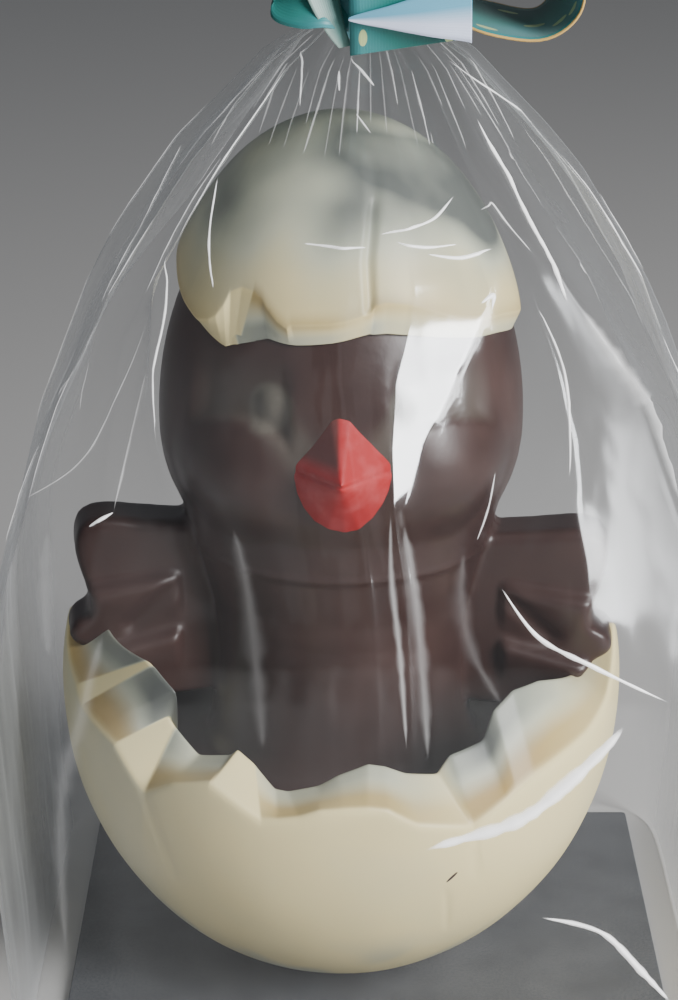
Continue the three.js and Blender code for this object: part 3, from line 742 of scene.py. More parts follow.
# Corners of the cap's edge, round from the back: angle and height of the outer edge, then of the foot, and how grey
# the face between them is painted: partly the thin coat, and partly painted shade on faces turned from the light.
CAP_TEETH = [
    (-180, 145, -180, 141, 0.6),
    (-154, 153, -154, 149, 0.6),
    (-128, 143, -128, 139, 0.6),
    (-100, 152, -100, 148, 0.6),
    (-78, 148.5, -78, 144.5, 0.5),
    (-62, 144, -64, 141.5, 0.5),
    (-51.4, 141.6, -55.3, 140.2, 0.3),
    (-46, 142.2, -47.2, 138.3, 0.1),
    (-43.3, 143.3, -42.5, 137.3, 0),
    (-40.8, 145.5, -40.4, 136.9, 0),
    (-39.3, 148, -39, 137.1, 0),
    (-35, 149.2, -37.4, 137.4, 0),
    (-30.6, 148.9, -36, 137.6, 0.1),
    (-30, 148.8, -35.2, 137.8, 0.9),
    (-27.2, 147.9, -24.6, 139.7, 1),
    (-26.8, 147.7, -23.6, 139.7, 0.9),
    (-25.1, 146.6, -22, 139.6, 0.8),
    (-20.9, 144.5, -20, 139.5, 0.7),
    (-16.9, 143.1, -17, 139.4, 0.6),
    (-15.7, 143.8, -14.6, 139.3, 0.6),
    (-9.5, 144, -9.3, 139.5, 0.6),
    (-3.3, 144.2, -3, 139.9, 0.6),
    (1, 144.6, 0.8, 140.3, 0.4),
    (6, 145.4, 5.6, 141, 0.2),
    (9.6, 146.3, 9.2, 141.4, 0.5),
    (10.8, 147.2, 10.2, 141.2, 0.8),
    (14.6, 147.6, 14.9, 141.2, 0.5),
    (22, 147, 22, 140.6, 0.4),
    (30, 145.5, 30, 139.8, 0.4),
    (42, 142.8, 42, 138.6, 0.4),
    (52, 141.6, 51, 137.6, 0.4),
    (63, 141, 62.6, 136.8, 0.4),
    (80, 139, 80, 135, 0.5),
    (100, 151, 100, 147, 0.6),
    (130, 142, 130, 138, 0.6),
    (156, 152, 156, 148, 0.6),
    (180, 145, 180, 141, 0.6),
]
CAP_CRACKS = [(0.9, 1.6, [(14.5, 163.5), (12.9, 161.3), (9.7, 154.9), (9.4, 148.3), (9.2, 143.2)]),
              (0.4, 2.2, [(20, 170), (16, 165.5), (12.9, 161.3)])]
# Grey clouds on the cap: angle, height, half width in millimetres, and strength. The broad faint one on the left is
# painted shade.
CAP_CLOUDS = [(14, 172, 8, 0.5), (50, 168, 9, 0.8), (72, 158, 11, 0.6), (-0.5, 159.5, 8, 0.2),
              (-85, 156, 24, 0.1), (110, 160, 20, 0.5), (-140, 163, 16, 0.5), (160, 160, 14, 0.5)]


def cap_place(across, up):
    """The cap's section from its crown down outside, over the bevelled break and back up inside."""
    outer_angle, outer_z, foot_angle, foot_z, grey = along(CAP_TEETH, across)
    around = lerp(-180, 180, across)
    height = CAP_TOP_Z - CAP_MIDDLE_Z
    if up < CAP_EDGE:
        t = up / CAP_EDGE
        tilt = lerp(math.pi / 2, math.asin((outer_z * MM - CAP_MIDDLE_Z) / height), t)
        angle = lerp(around, outer_angle, rise(t, 0, 1))
        z = CAP_MIDDLE_Z + height * math.sin(tilt)
        cut = groove(angle, z / MM, CAP_RADIUS * math.cos(tilt) / MM, CAP_CRACKS) * MM
        return uneven(round_axis(angle, max(CAP_RADIUS * math.cos(tilt) - cut, 0), z, FIGURE))
    outer = round_axis(outer_angle, oval_radius(CAP_RADIUS, CAP_MIDDLE_Z, CAP_TOP_Z, outer_z * MM),
                       outer_z * MM, FIGURE)
    foot = round_axis(foot_angle, oval_radius(CAP_INSIDE, CAP_MIDDLE_Z, CAP_TOP_Z, foot_z * MM),
                      foot_z * MM, FIGURE)
    if up < CAP_BREAK_END:
        return uneven(outer.lerp(foot, (up - CAP_EDGE) / (CAP_BREAK_END - CAP_EDGE)))
    t = (up - CAP_BREAK_END) / (1 - CAP_BREAK_END)
    inside_height = CAP_INSIDE_TOP_Z - CAP_MIDDLE_Z
    foot_reach = math.hypot(foot.x - FIGURE.x, foot.y - FIGURE.y)
    return round_axis(lerp(foot_angle, around, t), foot_reach * math.cos(t * math.pi / 2),
                      lerp(foot_z * MM, CAP_MIDDLE_Z + inside_height, math.sin(t * math.pi / 2)), FIGURE)


def cap_thin_and_shade(across, up):
    """Grey clouds near the crown and sides, where the dark chocolate shows through, and on the break; the cloud on
    the left side and part of the grey on the break are painted shade.
    """
    grey = along(CAP_TEETH, across)[4]
    if up >= CAP_EDGE:
        face = (up - CAP_EDGE) / (CAP_BREAK_END - CAP_EDGE)
        return 0.85 * grey * rise(face, 0.1, 0.7)
    point = cap_place(across, up)
    crown = 0.68 * rise(point.z, 142 * MM, 164 * MM) + 0.2 * noise.noise(point / (11 * MM))
    for angle, z, half_width, strength in CAP_CLOUDS:
        centre = round_axis(angle, oval_radius(CAP_RADIUS, CAP_MIDDLE_Z, CAP_TOP_Z, z * MM), z * MM, FIGURE)
        crown += strength * (1 - rise((point - centre).length / MM, 0, 1.5 * half_width))
    return crown


def cap_edge_shade(across, up):
    """Painted shade: yellow-brown in a broad band above the outer edge, and most just inside it."""
    grey = along(CAP_TEETH, across)[4]
    face = (up - CAP_EDGE) / (CAP_BREAK_END - CAP_EDGE)
    if face >= 0:
        return 0.8 * grey * (1 - rise(face, 0.1, 0.5))
    return 0.25 * rise(up, 0.45, CAP_EDGE) + 0.6 * grey * rise(up, CAP_EDGE - 0.03, CAP_EDGE)


cap = shaped_grid("eggshell_cap", 12 * (len(CAP_TEETH) - 1), 110, cap_place,
                  {"thin_coat_and_shade": cap_thin_and_shade, "fold": cap_edge_shade})
cast_edges(cap, 7)
cap.data.materials.append(ivory_cast)
finish_piece(cap, "white_chocolate", "egg_cap")

# ---- Bag ----
# A clear cellophane block-bottom bag, as thin as paper, drawn together above the cap. The pull of the tie
# draws it into flat panels between sharp ridges, which run down from the neck like a tent's seams.
BAG_SQUARE = 10
BAG_ROUND = 2
BAG_SQUARE_TOP_Z = 60
BAG_ROUNDING = 0.4
TIE_Z = 195
BAG_PROFILE = [(0, 66.5), (88, 71.5), (101, 68.5), (117, 64), (130, 58), (145, 51.5), (157, 45), (169, 36.5),
               (177, 29.5), (188, 19.5), (192, 13.5), (TIE_Z, 9)]
BAG_HEIGHTS = (0, 50, 88, 106, 122, 132, 142, 155, 176, TIE_Z)
# Each ridge or valley line down the bag: its angle at each of those heights, then how far it stands out.
BAG_LINES = [
    ((-180,) * 10, (0, 0, 0, 0.5, 1, 1.5, 1.5, 1.5, 1, 0)),
    ((-158, -156, -154, -150, -152, -155, -157, -158, -160, -161), (0, 0, -0.5, -1, -1.5, -2, -2, -2, -1.5, -1)),
    ((-135, -135, -135, -134, -132, -133, -136, -140, -142, -142), (0, 0, 0.3, 1, 2, 2, 2, 1.5, 1, 0.5)),
    ((-112, -112, -110, -108, -110, -112, -116, -118, -121, -123), (0, 0, -0.5, -1.5, -2, -2, -2, -2, -1.5, -1)),
    ((-90, -90, -90, -92, -95, -98, -100, -101, -101, -104), (0, 0, 0, 0.5, 1, 1.5, 2, 2, 1.5, 0.5)),
    ((-66, -66, -68, -70, -74, -76, -78, -80, -82, -85), (0, 0, -0.5, -1, -1.5, -2, -2, -2, -1.5, -1)),
    ((-45, -45, -46, -52, -55, -57, -58, -60, -62, -64), (0, 0, 0.3, 0.3, 1.5, 2, 2, 2, 1.5, 0.5)),
    ((-32, -32, -34, -38, -40, -44, -50, -53, -54, -55), (0, 0, 0, -1, -1.5, -2, -2, -1.5, -1, -1)),
    ((-14, -16, -19, -22, -27, -33, -38, -46, -46, -45), (0, 0, 0.3, 0.5, 1.5, 2.5, 3, 3, 2.5, 1)),
    ((-4, -5, -6, -8, -12, -14, -18, -22, -26, -28), (0, 0, -1, -1, -1.5, -2, -2, -2, -1.5, -1)),
    ((1, 1, 1, 0, -2, -4, -6, -6, -8, -10), (0, 0, -0.3, 0.3, 0.5, 0.5, 0.5, 1, 1, 0)),
    ((7, 6.5, 5.6, 5, 3.4, 3, 3.5, 8, 9, 5), (0, 0, 0.3, 1, 2.5, 2.8, 3, 1.6, 1.5, 0)),
    ((10, 9.5, 8.5, 7.5, 5, 9, 16, 26, 23, 18), (0, 0, -0.5, -1, 1.5, 0.6, -0.4, -0.6, -1.5, -1)),
    ((24, 25, 27, 29, 30, 32, 33, 33, 29, 29), (0, 0, 0, 0, 1, 1.5, 2, 2, 1.5, 0.5)),
    ((45, 45, 45, 45, 44, 45, 46, 41, 34, 42), (0, 0, 0.3, 1, 1.5, 2, 2, 2.5, 2.5, 1)),
    ((62, 62, 60, 60, 60.5, 61, 64, 74, 72, 62), (0, 0, 0.3, 0.5, 1.5, 2, 2.5, 2.5, 1.5, 0.5)),
    ((84, 84, 84, 82, 82, 82, 86, 92, 92, 84), (0, 0, -0.5, -1, -1.5, -2, -2, -2, -1.5, -1)),
    ((104, 104, 104, 106, 106, 106, 108, 108, 106, 104), (0, 0, 0, 0.5, 1.5, 2, 2, 2, 1.5, 0.5)),
    ((120, 120, 120, 121, 122, 122, 124, 124, 122, 122), (0, 0, -0.5, -1, -1.5, -2, -2, -2, -1.5, -1)),
    ((135, 135, 135, 136, 138, 138, 140, 142, 142, 142), (0, 0, 0.3, 1, 2, 2, 2, 1.5, 1, 0.5)),
    ((158, 158, 158, 158, 160, 160, 160, 161, 161, 161), (0, 0, -0.5, -1, -1.5, -2, -2, -2, -1.5, -1)),
    ((180,) * 10, (0, 0, 0, 0.5, 1, 1.5, 1.5, 1.5, 1, 0)),
]
PROFILE_ROUNDING = 14
PANEL_SAG = 1.0
TAUT_PANEL = 11
FRONT_SMOOTHNESS = 0.88
CRUMPLE_SIZE = 13 * MM
CRUMPLE_STRETCH = 4.5
CRUMPLE_DEPTH = 0.45 * MM
FILM_CRINKLE = 6 * MM


def bag_radius(angle, z):
    """The bag's reach before its ridges, with the bends of its profile rounded except near the tie."""
    spread = PROFILE_ROUNDING * (1 - rise(z, 150, 180))
    half = sum(table_value(BAG_PROFILE, z + spread * step) for step in (-1, -0.5, 0, 0.5, 1)) / 5
    square = lerp(BAG_SQUARE, BAG_ROUND, rise(z, BAG_SQUARE_TOP_Z, TIE_Z) ** BAG_ROUNDING)
    across, ahead = abs(math.sin(math.radians(angle))), abs(math.cos(math.radians(angle)))
    return half / (across ** square + ahead ** square) ** (1 / square)


def line_point(line, z):
    rows = list(zip(BAG_HEIGHTS, *line))
    angle, stand = table_value(rows, z, 1), table_value(rows, z, 2)
    return round_axis(angle, (bag_radius(angle, z) + stand) * MM, z * MM)


def taut(across, up):
    """1 on the panel that is stretched smooth over the face, and 0 on the slack film round it."""
    z = lerp(-4, TIE_Z + 1, up)
    stretched = int(across * (len(BAG_LINES) - 1)) == TAUT_PANEL
    return stretched * rise(z, 117, 123) * (1 - rise(z, 158, 168))


def crumple(point, depth):
    """A point of the film pushed in or out by its fine sharp crumpling, which runs up and down the bag."""
    drawn = Vector((point.x, point.y, point.z / CRUMPLE_STRETCH))
    ridges = noise.ridged_multi_fractal(drawn / CRUMPLE_SIZE, 1.0, 2.1, 3, 1.0, 1.5)
    outward = Vector((point.x, point.y, 0)).normalized()
    return point + outward * (ridges - 1.2) * depth


def bag_place(across, up):
    """The bag's film: under the card, up its sides in panels between the lines, and in to the tie."""
    line_place = across * (len(BAG_LINES) - 1)
    index = min(int(line_place), len(BAG_LINES) - 2)
    t = line_place - index
    z = max(0, lerp(-4, TIE_Z + 1, up))
    start, end = line_point(BAG_LINES[index], z), line_point(BAG_LINES[index + 1], z)
    point = start.lerp(end, t)
    middle_angle = math.degrees(math.atan2(point.x, -point.y))
    full = bag_radius(middle_angle, z) * MM / max(point.to_2d().length, MM)
    square_part = 1 - rise(z, 80, 125)
    point = point.lerp(Vector((point.x * full, point.y * full, point.z)), square_part)
    slack = 1 - taut(across, up)
    sag = PANEL_SAG * 4 * t * (1 - t) * rise(z, 60, 130) * slack * MM
    point -= Vector((point.x, point.y, 0)).normalized() * sag
    depth = CRUMPLE_DEPTH * rise(z, 2, 20) * (1 - 0.6 * rise(z, 165, 190))
    point = crumple(point, depth * lerp(0.1, 1, slack))
    if up < 0.02:
        point *= max(up / 0.02, 0)
        point.z = -0.1 * MM
    return point


def smoothness(across, up):
    """How sharply the film mirrors: most on the taut panel, and least on the crumpled sides and back."""
    point = bag_place(across, up)
    from_front = abs(math.degrees(math.atan2(point.x, -point.y)))
    return max(taut(across, up), FRONT_SMOOTHNESS * (1 - rise(from_front, 32, 50)))


def cellophane():
    # Cellophane: clear, thin and glossy. It shows what is behind it and mirrors more towards its edges.
    # Stretched, it mirrors sharply; slack, its fine crinkles spread the shine into a faint haze.
    material = new_material("clear cellophane")
    smooth = add_node(material, "ShaderNodeAttribute", {"attribute_name": "smoothness"}).outputs["Fac"]
    rough = add_node(material, "ShaderNodeMapRange", {3: 0.5, 4: 0.1}, n0=smooth)
    stretched = add_node(material, "ShaderNodeMath", {"operation": "POWER", 1: 12.0}, n0=smooth)
    head_on = add_node(material, "ShaderNodeMapRange", {3: 0.045, 4: 0.16}, n0=stretched.outputs[0])
    place = add_node(material, "ShaderNodeTexCoord").outputs["Object"]
    crinkle = add_node(material, "ShaderNodeTexNoise", {"Scale": per_size(FILM_CRINKLE), "Detail": 0}, Vector=place)
    bump = add_node(material, "ShaderNodeBump", {"Strength": 0.12, "Distance": 0.3 * MM},
                    Height=crinkle.outputs["Fac"])
    facing = add_node(material, "ShaderNodeLayerWeight", {"Blend": 0.5})
    steep = add_node(material, "ShaderNodeMath", {"operation": "POWER", 1: 4.0}, n0=facing.outputs["Facing"])
    mirror = add_node(material, "ShaderNodeMath", {"operation": "MULTIPLY_ADD", "use_clamp": True, 1: 0.7},
                      n0=steep.outputs[0], n2=head_on.outputs[0])
    gloss = add_node(material, "ShaderNodeBsdfPrincipled", {
        "Base Color": colour("F4F7FA"), "Metallic": 0.85,
    }, Roughness=rough.outputs[0], Normal=bump.outputs["Normal"])
    clear = add_node(material, "ShaderNodeBsdfTransparent", {"Color": (0.985, 0.987, 0.99, 1)})
    film = add_node(material, "ShaderNodeMixShader", n0=mirror.outputs[0], n1=clear.outputs["BSDF"],
                    n2=gloss.outputs["BSDF"])
    add_node(material, "ShaderNodeOutputMaterial", Surface=film.outputs["Shader"])
    return material


bag = shaped_grid("bag_film", 400, 196, bag_place, {"smoothness": smoothness})
face_outwards(bag)
bpy.ops.object.shade_smooth()
clear_film = cellophane()
bag.data.materials.append(clear_film)
finish_piece(bag, "film", "film_bag")

# ---- Bag creases ----
# Where the film has been folded sharply it stays as a narrow whitened roof. The bright lines on the bag are painted
# glints: these roofs are white and glow a little. Wider, fainter ones are painted reflections: soft streaks of the
# same white that make the film milky.
# The greatest width in millimetres and how white it is, then points by angle and height, rounded to the
# nearest degree and millimetre.
CREASES = [
    (0.9, 1, [(-46, 188), (-47, 173), (-48, 161)]),
    (0.5, 0.8, [(-47, 159), (-42, 152), (-38, 143), (-33, 131)]),
    (0.5, 0.8, [(-45, 171), (-40, 161), (-35, 154)]),
    (0.6, 0.9, [(-95, 170), (-88, 163), (-82, 156)]),
    (0.6, 0.4, [(-46, 148), (-46, 132), (-48, 124), (-55, 116)]),
    (0.8, 0.3, [(-40, 141), (-40, 134), (-38, 119)]),
    (0.8, 0.5, [(-66, 143), (-66, 136), (-79, 125)]),
    (5, 0.06, [(-48, 113), (-44, 104), (-41, 95)]),
    (5, 0.06, [(-35, 100), (-36, 86), (-38, 70), (-39, 37)]),
    (5, 0.04, [(-21, 118), (-18, 107), (-16, 93), (-15, 80)]),
    (1.8, 0.25, [(3, 121), (3, 110), (4, 98), (5, 80)]),
    (4, 0.15, [(5, 119), (6, 108), (7, 98), (8, 78)]),
    (4, 0.05, [(14, 114), (13, 107), (14, 98), (18, 88)]),
    (1.5, 1, [(43, 180), (42, 172), (40, 162), (40, 152)]),
    (0.7, 0.7, [(50, 189), (66, 182), (76, 174), (74, 163)]),
    (5, 0.3, [(42, 151), (45, 140), (46, 130), (45, 120)]),
    (0.8, 0.7, [(33, 152), (34, 145), (33, 138), (30, 126)]),
    (0.6, 0.6, [(29, 167), (32, 168), (34, 165), (37, 160)]),
    (0.9, 1, [(23, 153), (26, 154), (25, 152)]),
    (0.5, 0.8, [(-48, 191), (-40, 188), (-32, 182)]),
    (0.6, 1, [(-18, 188), (-15, 185)]),
    (0.6, 0.9, [(-12, 190), (-4, 188), (2, 186)]),
    (0.5, 0.6, [(-6, 182), (0, 179)]),
    (0.6, 0.9, [(-17, 162), (-9, 162), (-1, 162)]),
    (0.6, 1, [(2, 164), (9, 165), (17, 166), (24, 169)]),
    (0.6, 0.9, [(6, 163), (13, 162), (21, 162)]),
    (0.8, 1, [(13, 161), (21, 160), (29, 161)]),
    (0.9, 1, [(19, 108), (23, 100), (29, 95), (37, 88)]),
    (3.4, 1, [(8, 60), (20, 66), (27, 75), (32, 84)]),
    (1.5, 1, [(24, 46), (31, 43), (36, 34), (39, 28)]),
    (0.7, 1, [(-41, 116), (-38, 119)]),
    (0.4, 0.6, [(20, 127), (18, 121), (16, 116)]),
]
CREASE_ROOF = 0.25
CREASE_LIFT = 0.15 * MM
CREASE_STEPS = 32
CREASE_RAGGED = 0.5
CREASE_TEAR = 2.5 * MM


def on_film(angle, z):
    """The point of the bag's film in this direction from its axis, at this height."""
    outside = round_axis(angle, 200 * MM, z * MM)
    inwards = (Vector((0, 0, z * MM)) - outside).normalized()
    found, place, normal, face = bag.ray_cast(outside, inwards)
    return (place, normal) if found else (round_axis(angle, bag_radius(angle, z) * MM, z * MM), -inwards)


def crease(name, width, white, points):
    """A ragged roof along a fold of the film, whitest along its middle."""
    spots = [on_film(*through(points, k / CREASE_STEPS)) for k in range(CREASE_STEPS + 1)]

    def place(across, up):
        k = min(int(up * CREASE_STEPS + 0.5), CREASE_STEPS)
        centre, normal = spots[k]
        ahead = spots[min(k + 1, CREASE_STEPS)][0] - spots[max(k - 1, 0)][0]
        sideways = normal.cross(ahead).normalized()
        ragged = 1 + CREASE_RAGGED * noise.noise(centre / CREASE_TEAR)
        reach = width * MM * ragged * math.sin(math.pi * min(max(up, 0.02), 0.98)) ** 0.7
        lift = CREASE_LIFT + reach * CREASE_ROOF * (1 - abs(2 * across - 1))
        return centre + sideways * reach * (across - 0.5) + normal * lift

    # Painted glint: how white the strip is, and how much it glows.
    def whiteness(across, up):
        return white * rise(1 - abs(2 * across - 1), 0, lerp(1.3, 0.5, white)) * rise(min(up, 1 - up), 0, 0.1)

    strip = shaped_grid(name, 6, CREASE_STEPS, place, {"white": whiteness})
    bpy.ops.object.shade_smooth()
    return strip


def creased_film():
    # Creased cellophane: the broken film along a fold scatters light, so it looks white, and it is clear again
    # beside the fold. The white also glows with a little emission: a painted glint for the light that a ridge sends
    # out on all sides.
    material = new_material("creased cellophane")
    white = add_node(material, "ShaderNodeAttribute", {"attribute_name": "white"}).outputs["Fac"]
    glint = add_node(material, "ShaderNodeBsdfPrincipled", {
        "Base Color": colour("FFFFFF"), "Roughness": 0.25, "Emission Color": colour("FFFFFF"),
        "Emission Strength": 0.8})
    clear = add_node(material, "ShaderNodeBsdfTransparent")
    film = add_node(material, "ShaderNodeMixShader", n0=white, n1=clear.outputs["BSDF"],
                    n2=glint.outputs["BSDF"])
    add_node(material, "ShaderNodeOutputMaterial", Surface=film.outputs["Shader"])
    return material


chance = random.Random(7)
bpy.context.view_layer.update()
folds = [crease("fold", width, white, points) for width, white, points in CREASES]
for line in BAG_LINES[1:-1]:
    angles = list(zip(BAG_HEIGHTS, line[0]))
    for low in (chance.uniform(96, 128), chance.uniform(140, 165)):
        high = low + chance.uniform(12, 30)
        if abs(table_value(angles, (low + high) / 2)) > 52 and high < 188:
            heights = [lerp(low, high, k / 3) for k in range(4)]
            points = [(table_value(angles, z), z) for z in heights]
            folds.append(crease("fold", chance.uniform(0.3, 0.8), 0.7, points))
for angle in range(-66, 67, 6):
    high, low = chance.uniform(188, 193), chance.uniform(174, 183)
    lean = chance.uniform(0.85, 1)
    folds.append(crease("fold", chance.uniform(0.3, 0.6), chance.uniform(0.15, 0.45),
                        [(angle, high), (angle * (1 + lean) / 2, (high + low) / 2), (angle * lean, low)]))
creases = folds.pop(0)
join(creases, folds)
creases.name = "bag_creases"
creases.data.materials.append(creased_film())
finish_piece(creases, "film", "film_bag")

# ---- Film frill ----
# Above the tie the gathered film springs open in a ruffle of deep folds, cut straight across at its top.
FRILL_LOW_Z = 194
FRILL_TOP_Z = 251
FRILL_RADIUS = 36
FRILL_FOLDS = 9
FRILL_DEPTH = 8


def frill_place(layer):
    def place(across, up):
        angle = lerp(-180, 180, across)
        z = lerp(FRILL_LOW_Z, FRILL_TOP_Z - 6 * layer, up)
        spread = rise(up, 0.12, 1.3) ** 1.1
        radius = lerp(8.6 - layer, FRILL_RADIUS - 9 * layer, spread * 1.25)
        wave = math.radians(angle * FRILL_FOLDS + 70 * layer + 40 * math.sin(math.radians(angle * 2)))
        radius += FRILL_DEPTH * rise(up, 0.1, 1.1) * math.cos(wave)
        lift = 4 * up * noise.noise(round_axis(angle, 2, layer))
        return crumple(round_axis(angle, radius * MM, (z + lift) * MM), 0.35 * MM * up)
    return place


ruffles = [shaped_grid("frill_film", 360, 60, frill_place(0)), shaped_grid("inner", 300, 50, frill_place(1))]
for ruffle in ruffles:
    face_outwards(ruffle)
    bpy.ops.object.shade_smooth()
join(ruffles[0], ruffles[1:])
frill = ruffles[0]
frill.data.materials.append(clear_film)
finish_piece(frill, "film", "film_bag")

# ---- Ribbon bow ----
# A stock satin ribbon with a small leaf print and gilt edges, wound round the gathered film and tied
# in a bow: a band, a knot, a loop to each side, two swallow-tailed ends, and an end turned down in front.
# That end is folded, so that a wedge of its paler reverse lies across it, and a curl sits at the knot's left.
RIBBON_WIDTH = 24 * MM
RIBBON_THICK = 0.35 * MM
TAIL_NOTCH = 0.22
LOOP_LENGTH = 30
LOOP_HEIGHT = 18
LOOP_ROOT_X = 5
LOOP_Y = -21.5
UV_UNIT = 100 * MM
BOW = Vector((0, -18, 203)) * MM
KNOT_HALF_WIDTH = 11.5
KNOT_HALF_DEPTH = 8.6
KNOT_HALF_HEIGHT = 9.5
TEAL = "14746E"
TEAL_DEEP = "0D5552"
SKY = "5AA3B4"
REVERSE_SHADE = "5FA3C0"
REVERSE_LIT = "CCD6EE"
TURNED_SHADE = "4F8580"
TURNED_LIT = "8FAAA2"
LEAF = "B9C98E"
GILT = "C9A45A"


def satin_ribbon():
    # Polyester satin: a soft sheen along the threads, teal shading to sky blue, printed with pale leaves
    # and edged with a gilt line.
    material = new_material("printed satin ribbon")
    flat = add_node(material, "ShaderNodeUVMap").outputs["UV"]
    parts_of = add_node(material, "ShaderNodeSeparateXYZ", n0=flat)
    sky = add_node(material, "ShaderNodeTexNoise", {"Scale": 3.2, "Detail": 1}, Vector=flat)
    ground = ramp(material, sky.outputs["Fac"], [(0.36, TEAL_DEEP), (0.5, TEAL), (0.78, SKY)])
    turned = add_node(material, "ShaderNodeMapping", {"Rotation": (0, 0, 0.7), "Scale": (9, 22, 1)}, Vector=flat)
    leaf = add_node(material, "ShaderNodeTexVoronoi", {"Scale": 1.0}, Vector=turned.outputs["Vector"])
    is_leaf = add_node(material, "ShaderNodeMath", {"operation": "LESS_THAN", 1: 0.2},
                       n0=leaf.outputs["Distance"])
    printed = add_node(material, "ShaderNodeMix", {"data_type": "RGBA", 7: colour(LEAF)},
                       n0=is_leaf.outputs[0], n6=ground)
    off_middle = add_node(material, "ShaderNodeMath", {"operation": "ABSOLUTE"}, n0=parts_of.outputs["Y"])
    is_edge = add_node(material, "ShaderNodeMath", {"operation": "GREATER_THAN", 1: 0.114},
                       n0=off_middle.outputs[0])
    tint = add_node(material, "ShaderNodeMix", {"data_type": "RGBA", 7: colour(GILT)},
                    n0=is_edge.outputs[0], n6=printed.outputs[2])
    thread = add_node(material, "ShaderNodeTexWave", {"Scale": 60.0, "bands_direction": "Y"}, Vector=flat)
    bump = add_node(material, "ShaderNodeBump", {"Strength": 0.15, "Distance": 0.1 * MM},
                    Height=thread.outputs["Fac"])
    shader = add_node(material, "ShaderNodeBsdfPrincipled", {
        "Roughness": 0.42, "Sheen Weight": 0.15, "Anisotropic": 0.5,
    }, Base_Color=tint.outputs[2], Normal=bump.outputs["Normal"])
    add_node(material, "ShaderNodeOutputMaterial", Surface=shader.outputs["BSDF"])
    return material


def satin_reverse(name, lit, shade):
    # The satin's back: unprinted and paler, shading across its width from the edge that the light rakes.
    material = new_material(name)
    flat = add_node(material, "ShaderNodeUVMap").outputs["UV"]
    parts_of = add_node(material, "ShaderNodeSeparateXYZ", n0=flat)
    from_edge = add_node(material, "ShaderNodeMapRange", {1: -0.05, 2: 0.05}, n0=parts_of.outputs["Y"])
    tint = ramp(material, from_edge.outputs[0], [(0.25, lit), (0.6, shade)])
    thread = add_node(material, "ShaderNodeTexWave", {"Scale": 60.0, "bands_direction": "Y"}, Vector=flat)
    bump = add_node(material, "ShaderNodeBump", {"Strength": 0.15, "Distance": 0.1 * MM},
                    Height=thread.outputs["Fac"])
    shader = add_node(material, "ShaderNodeBsdfPrincipled", {"Roughness": 0.4, "Sheen Weight": 0.4},
                      Base_Color=tint, Normal=bump.outputs["Normal"])
    add_node(material, "ShaderNodeOutputMaterial", Surface=shader.outputs["BSDF"])
    return material


def ribbon_strip(name, path, sideways, satin, width=RIBBON_WIDTH, ends=(1, 1), gather=1, notch=0, steps=48):
    """A length of ribbon along a smooth path, with its width turned as given at the path's points.
    Ends are its shares of the width there, gather is how far both ends are drawn together on top of
    that, and notch is the share of its length that a swallow-tail cut takes."""
    stops = [Vector(through(path, k / steps)) * MM for k in range(steps + 1)]
    length = sum((b - a).length for a, b in zip(stops, stops[1:]))

    def place(across, up):
        share = up * (1 - notch * (1 - abs(2 * across - 1)))
        turn = Vector(through(sideways, share)).normalized()
        spread = width * lerp(*ends, share) * lerp(gather, 1, rise(min(share, 1 - share), 0, 0.25))
        return Vector(through(path, share)) * MM + turn * spread * (across - 0.5)

    strip = shaped_grid(name, 10, steps, place)
    layer = strip.data.uv_layers.active
    for item in layer.data:
        item.uv = (item.uv[1] * length / UV_UNIT, (item.uv[0] - 0.5) * width / UV_UNIT)
    apply_modifier(strip, "SOLIDIFY", thickness=RIBBON_THICK, offset=0)
    bpy.ops.object.shade_smooth()
    strip.data.materials.append(satin)
    finish_piece(strip, "ribbon", "ribbon")


def loop_path(side, tilt, length, height):
    """A bow's loop, out from the knot below and back above, as points across and up."""
    shape = [(0, 0), (0.25, -0.14), (0.5, -0.33), (0.78, -0.44), (0.94, -0.29), (1, 0), (0.92, 0.38),
             (0.6, 0.52), (0.25, 0.3), (0, 0.05)]
    turn = math.radians(tilt)
    points = []
    for out, up in shape:
        x, z = out * length, up * height
        points.append((side * (LOOP_ROOT_X + x * math.cos(turn) - z * math.sin(turn)),
                       LOOP_Y, BOW.z / MM + x * math.sin(turn) + z * math.cos(turn)))
    return points


ribbon_satin = satin_ribbon()
ribbon_back = satin_reverse("satin ribbon reverse", REVERSE_LIT, REVERSE_SHADE)
# Painted shade: the turned edge is a darker copy of the reverse, as if lying in shade.
reverse_in_shade = satin_reverse("satin ribbon reverse in shade", TURNED_LIT, TURNED_SHADE)
for name, side, tilt in (("ribbon_loop_left", -1, 36), ("ribbon_loop_right", 1, 5)):
    path = loop_path(side, tilt, LOOP_LENGTH, LOOP_HEIGHT)
    lean = [(0.12 * side * math.sin(k), 1, 0.05) for k in range(len(path))]
    ribbon_strip(name, path, lean, ribbon_satin, gather=0.35)
for name, side in (("ribbon_tail_left", -1), ("ribbon_tail_right", 1)):
    path = [(side * 2, -20, 205), (side * 8, -27, 214), (side * 15, -35, 222), (side * 20, -45, 232)]
    lean = [(1, side * 0.2, -0.1), (1, side * 0.3, -0.2), (1, side * 0.4, -0.3), (1, side * 0.6, -0.3)]
    ribbon_strip(name, path, lean, ribbon_satin, notch=TAIL_NOTCH)
ribbon_strip("ribbon_flap",
             [(6.4, -26, 212), (6.4, -31, 209), (6.6, -31.5, 203), (6.7, -30, 198), (6.7, -28.5, 194.6)],
             [(1, 0, 0), (1, 0, 0), (1, 0, 0.05), (1, 0.05, 0.1), (1, 0.05, 0.14)],
             ribbon_satin, width=21 * MM)
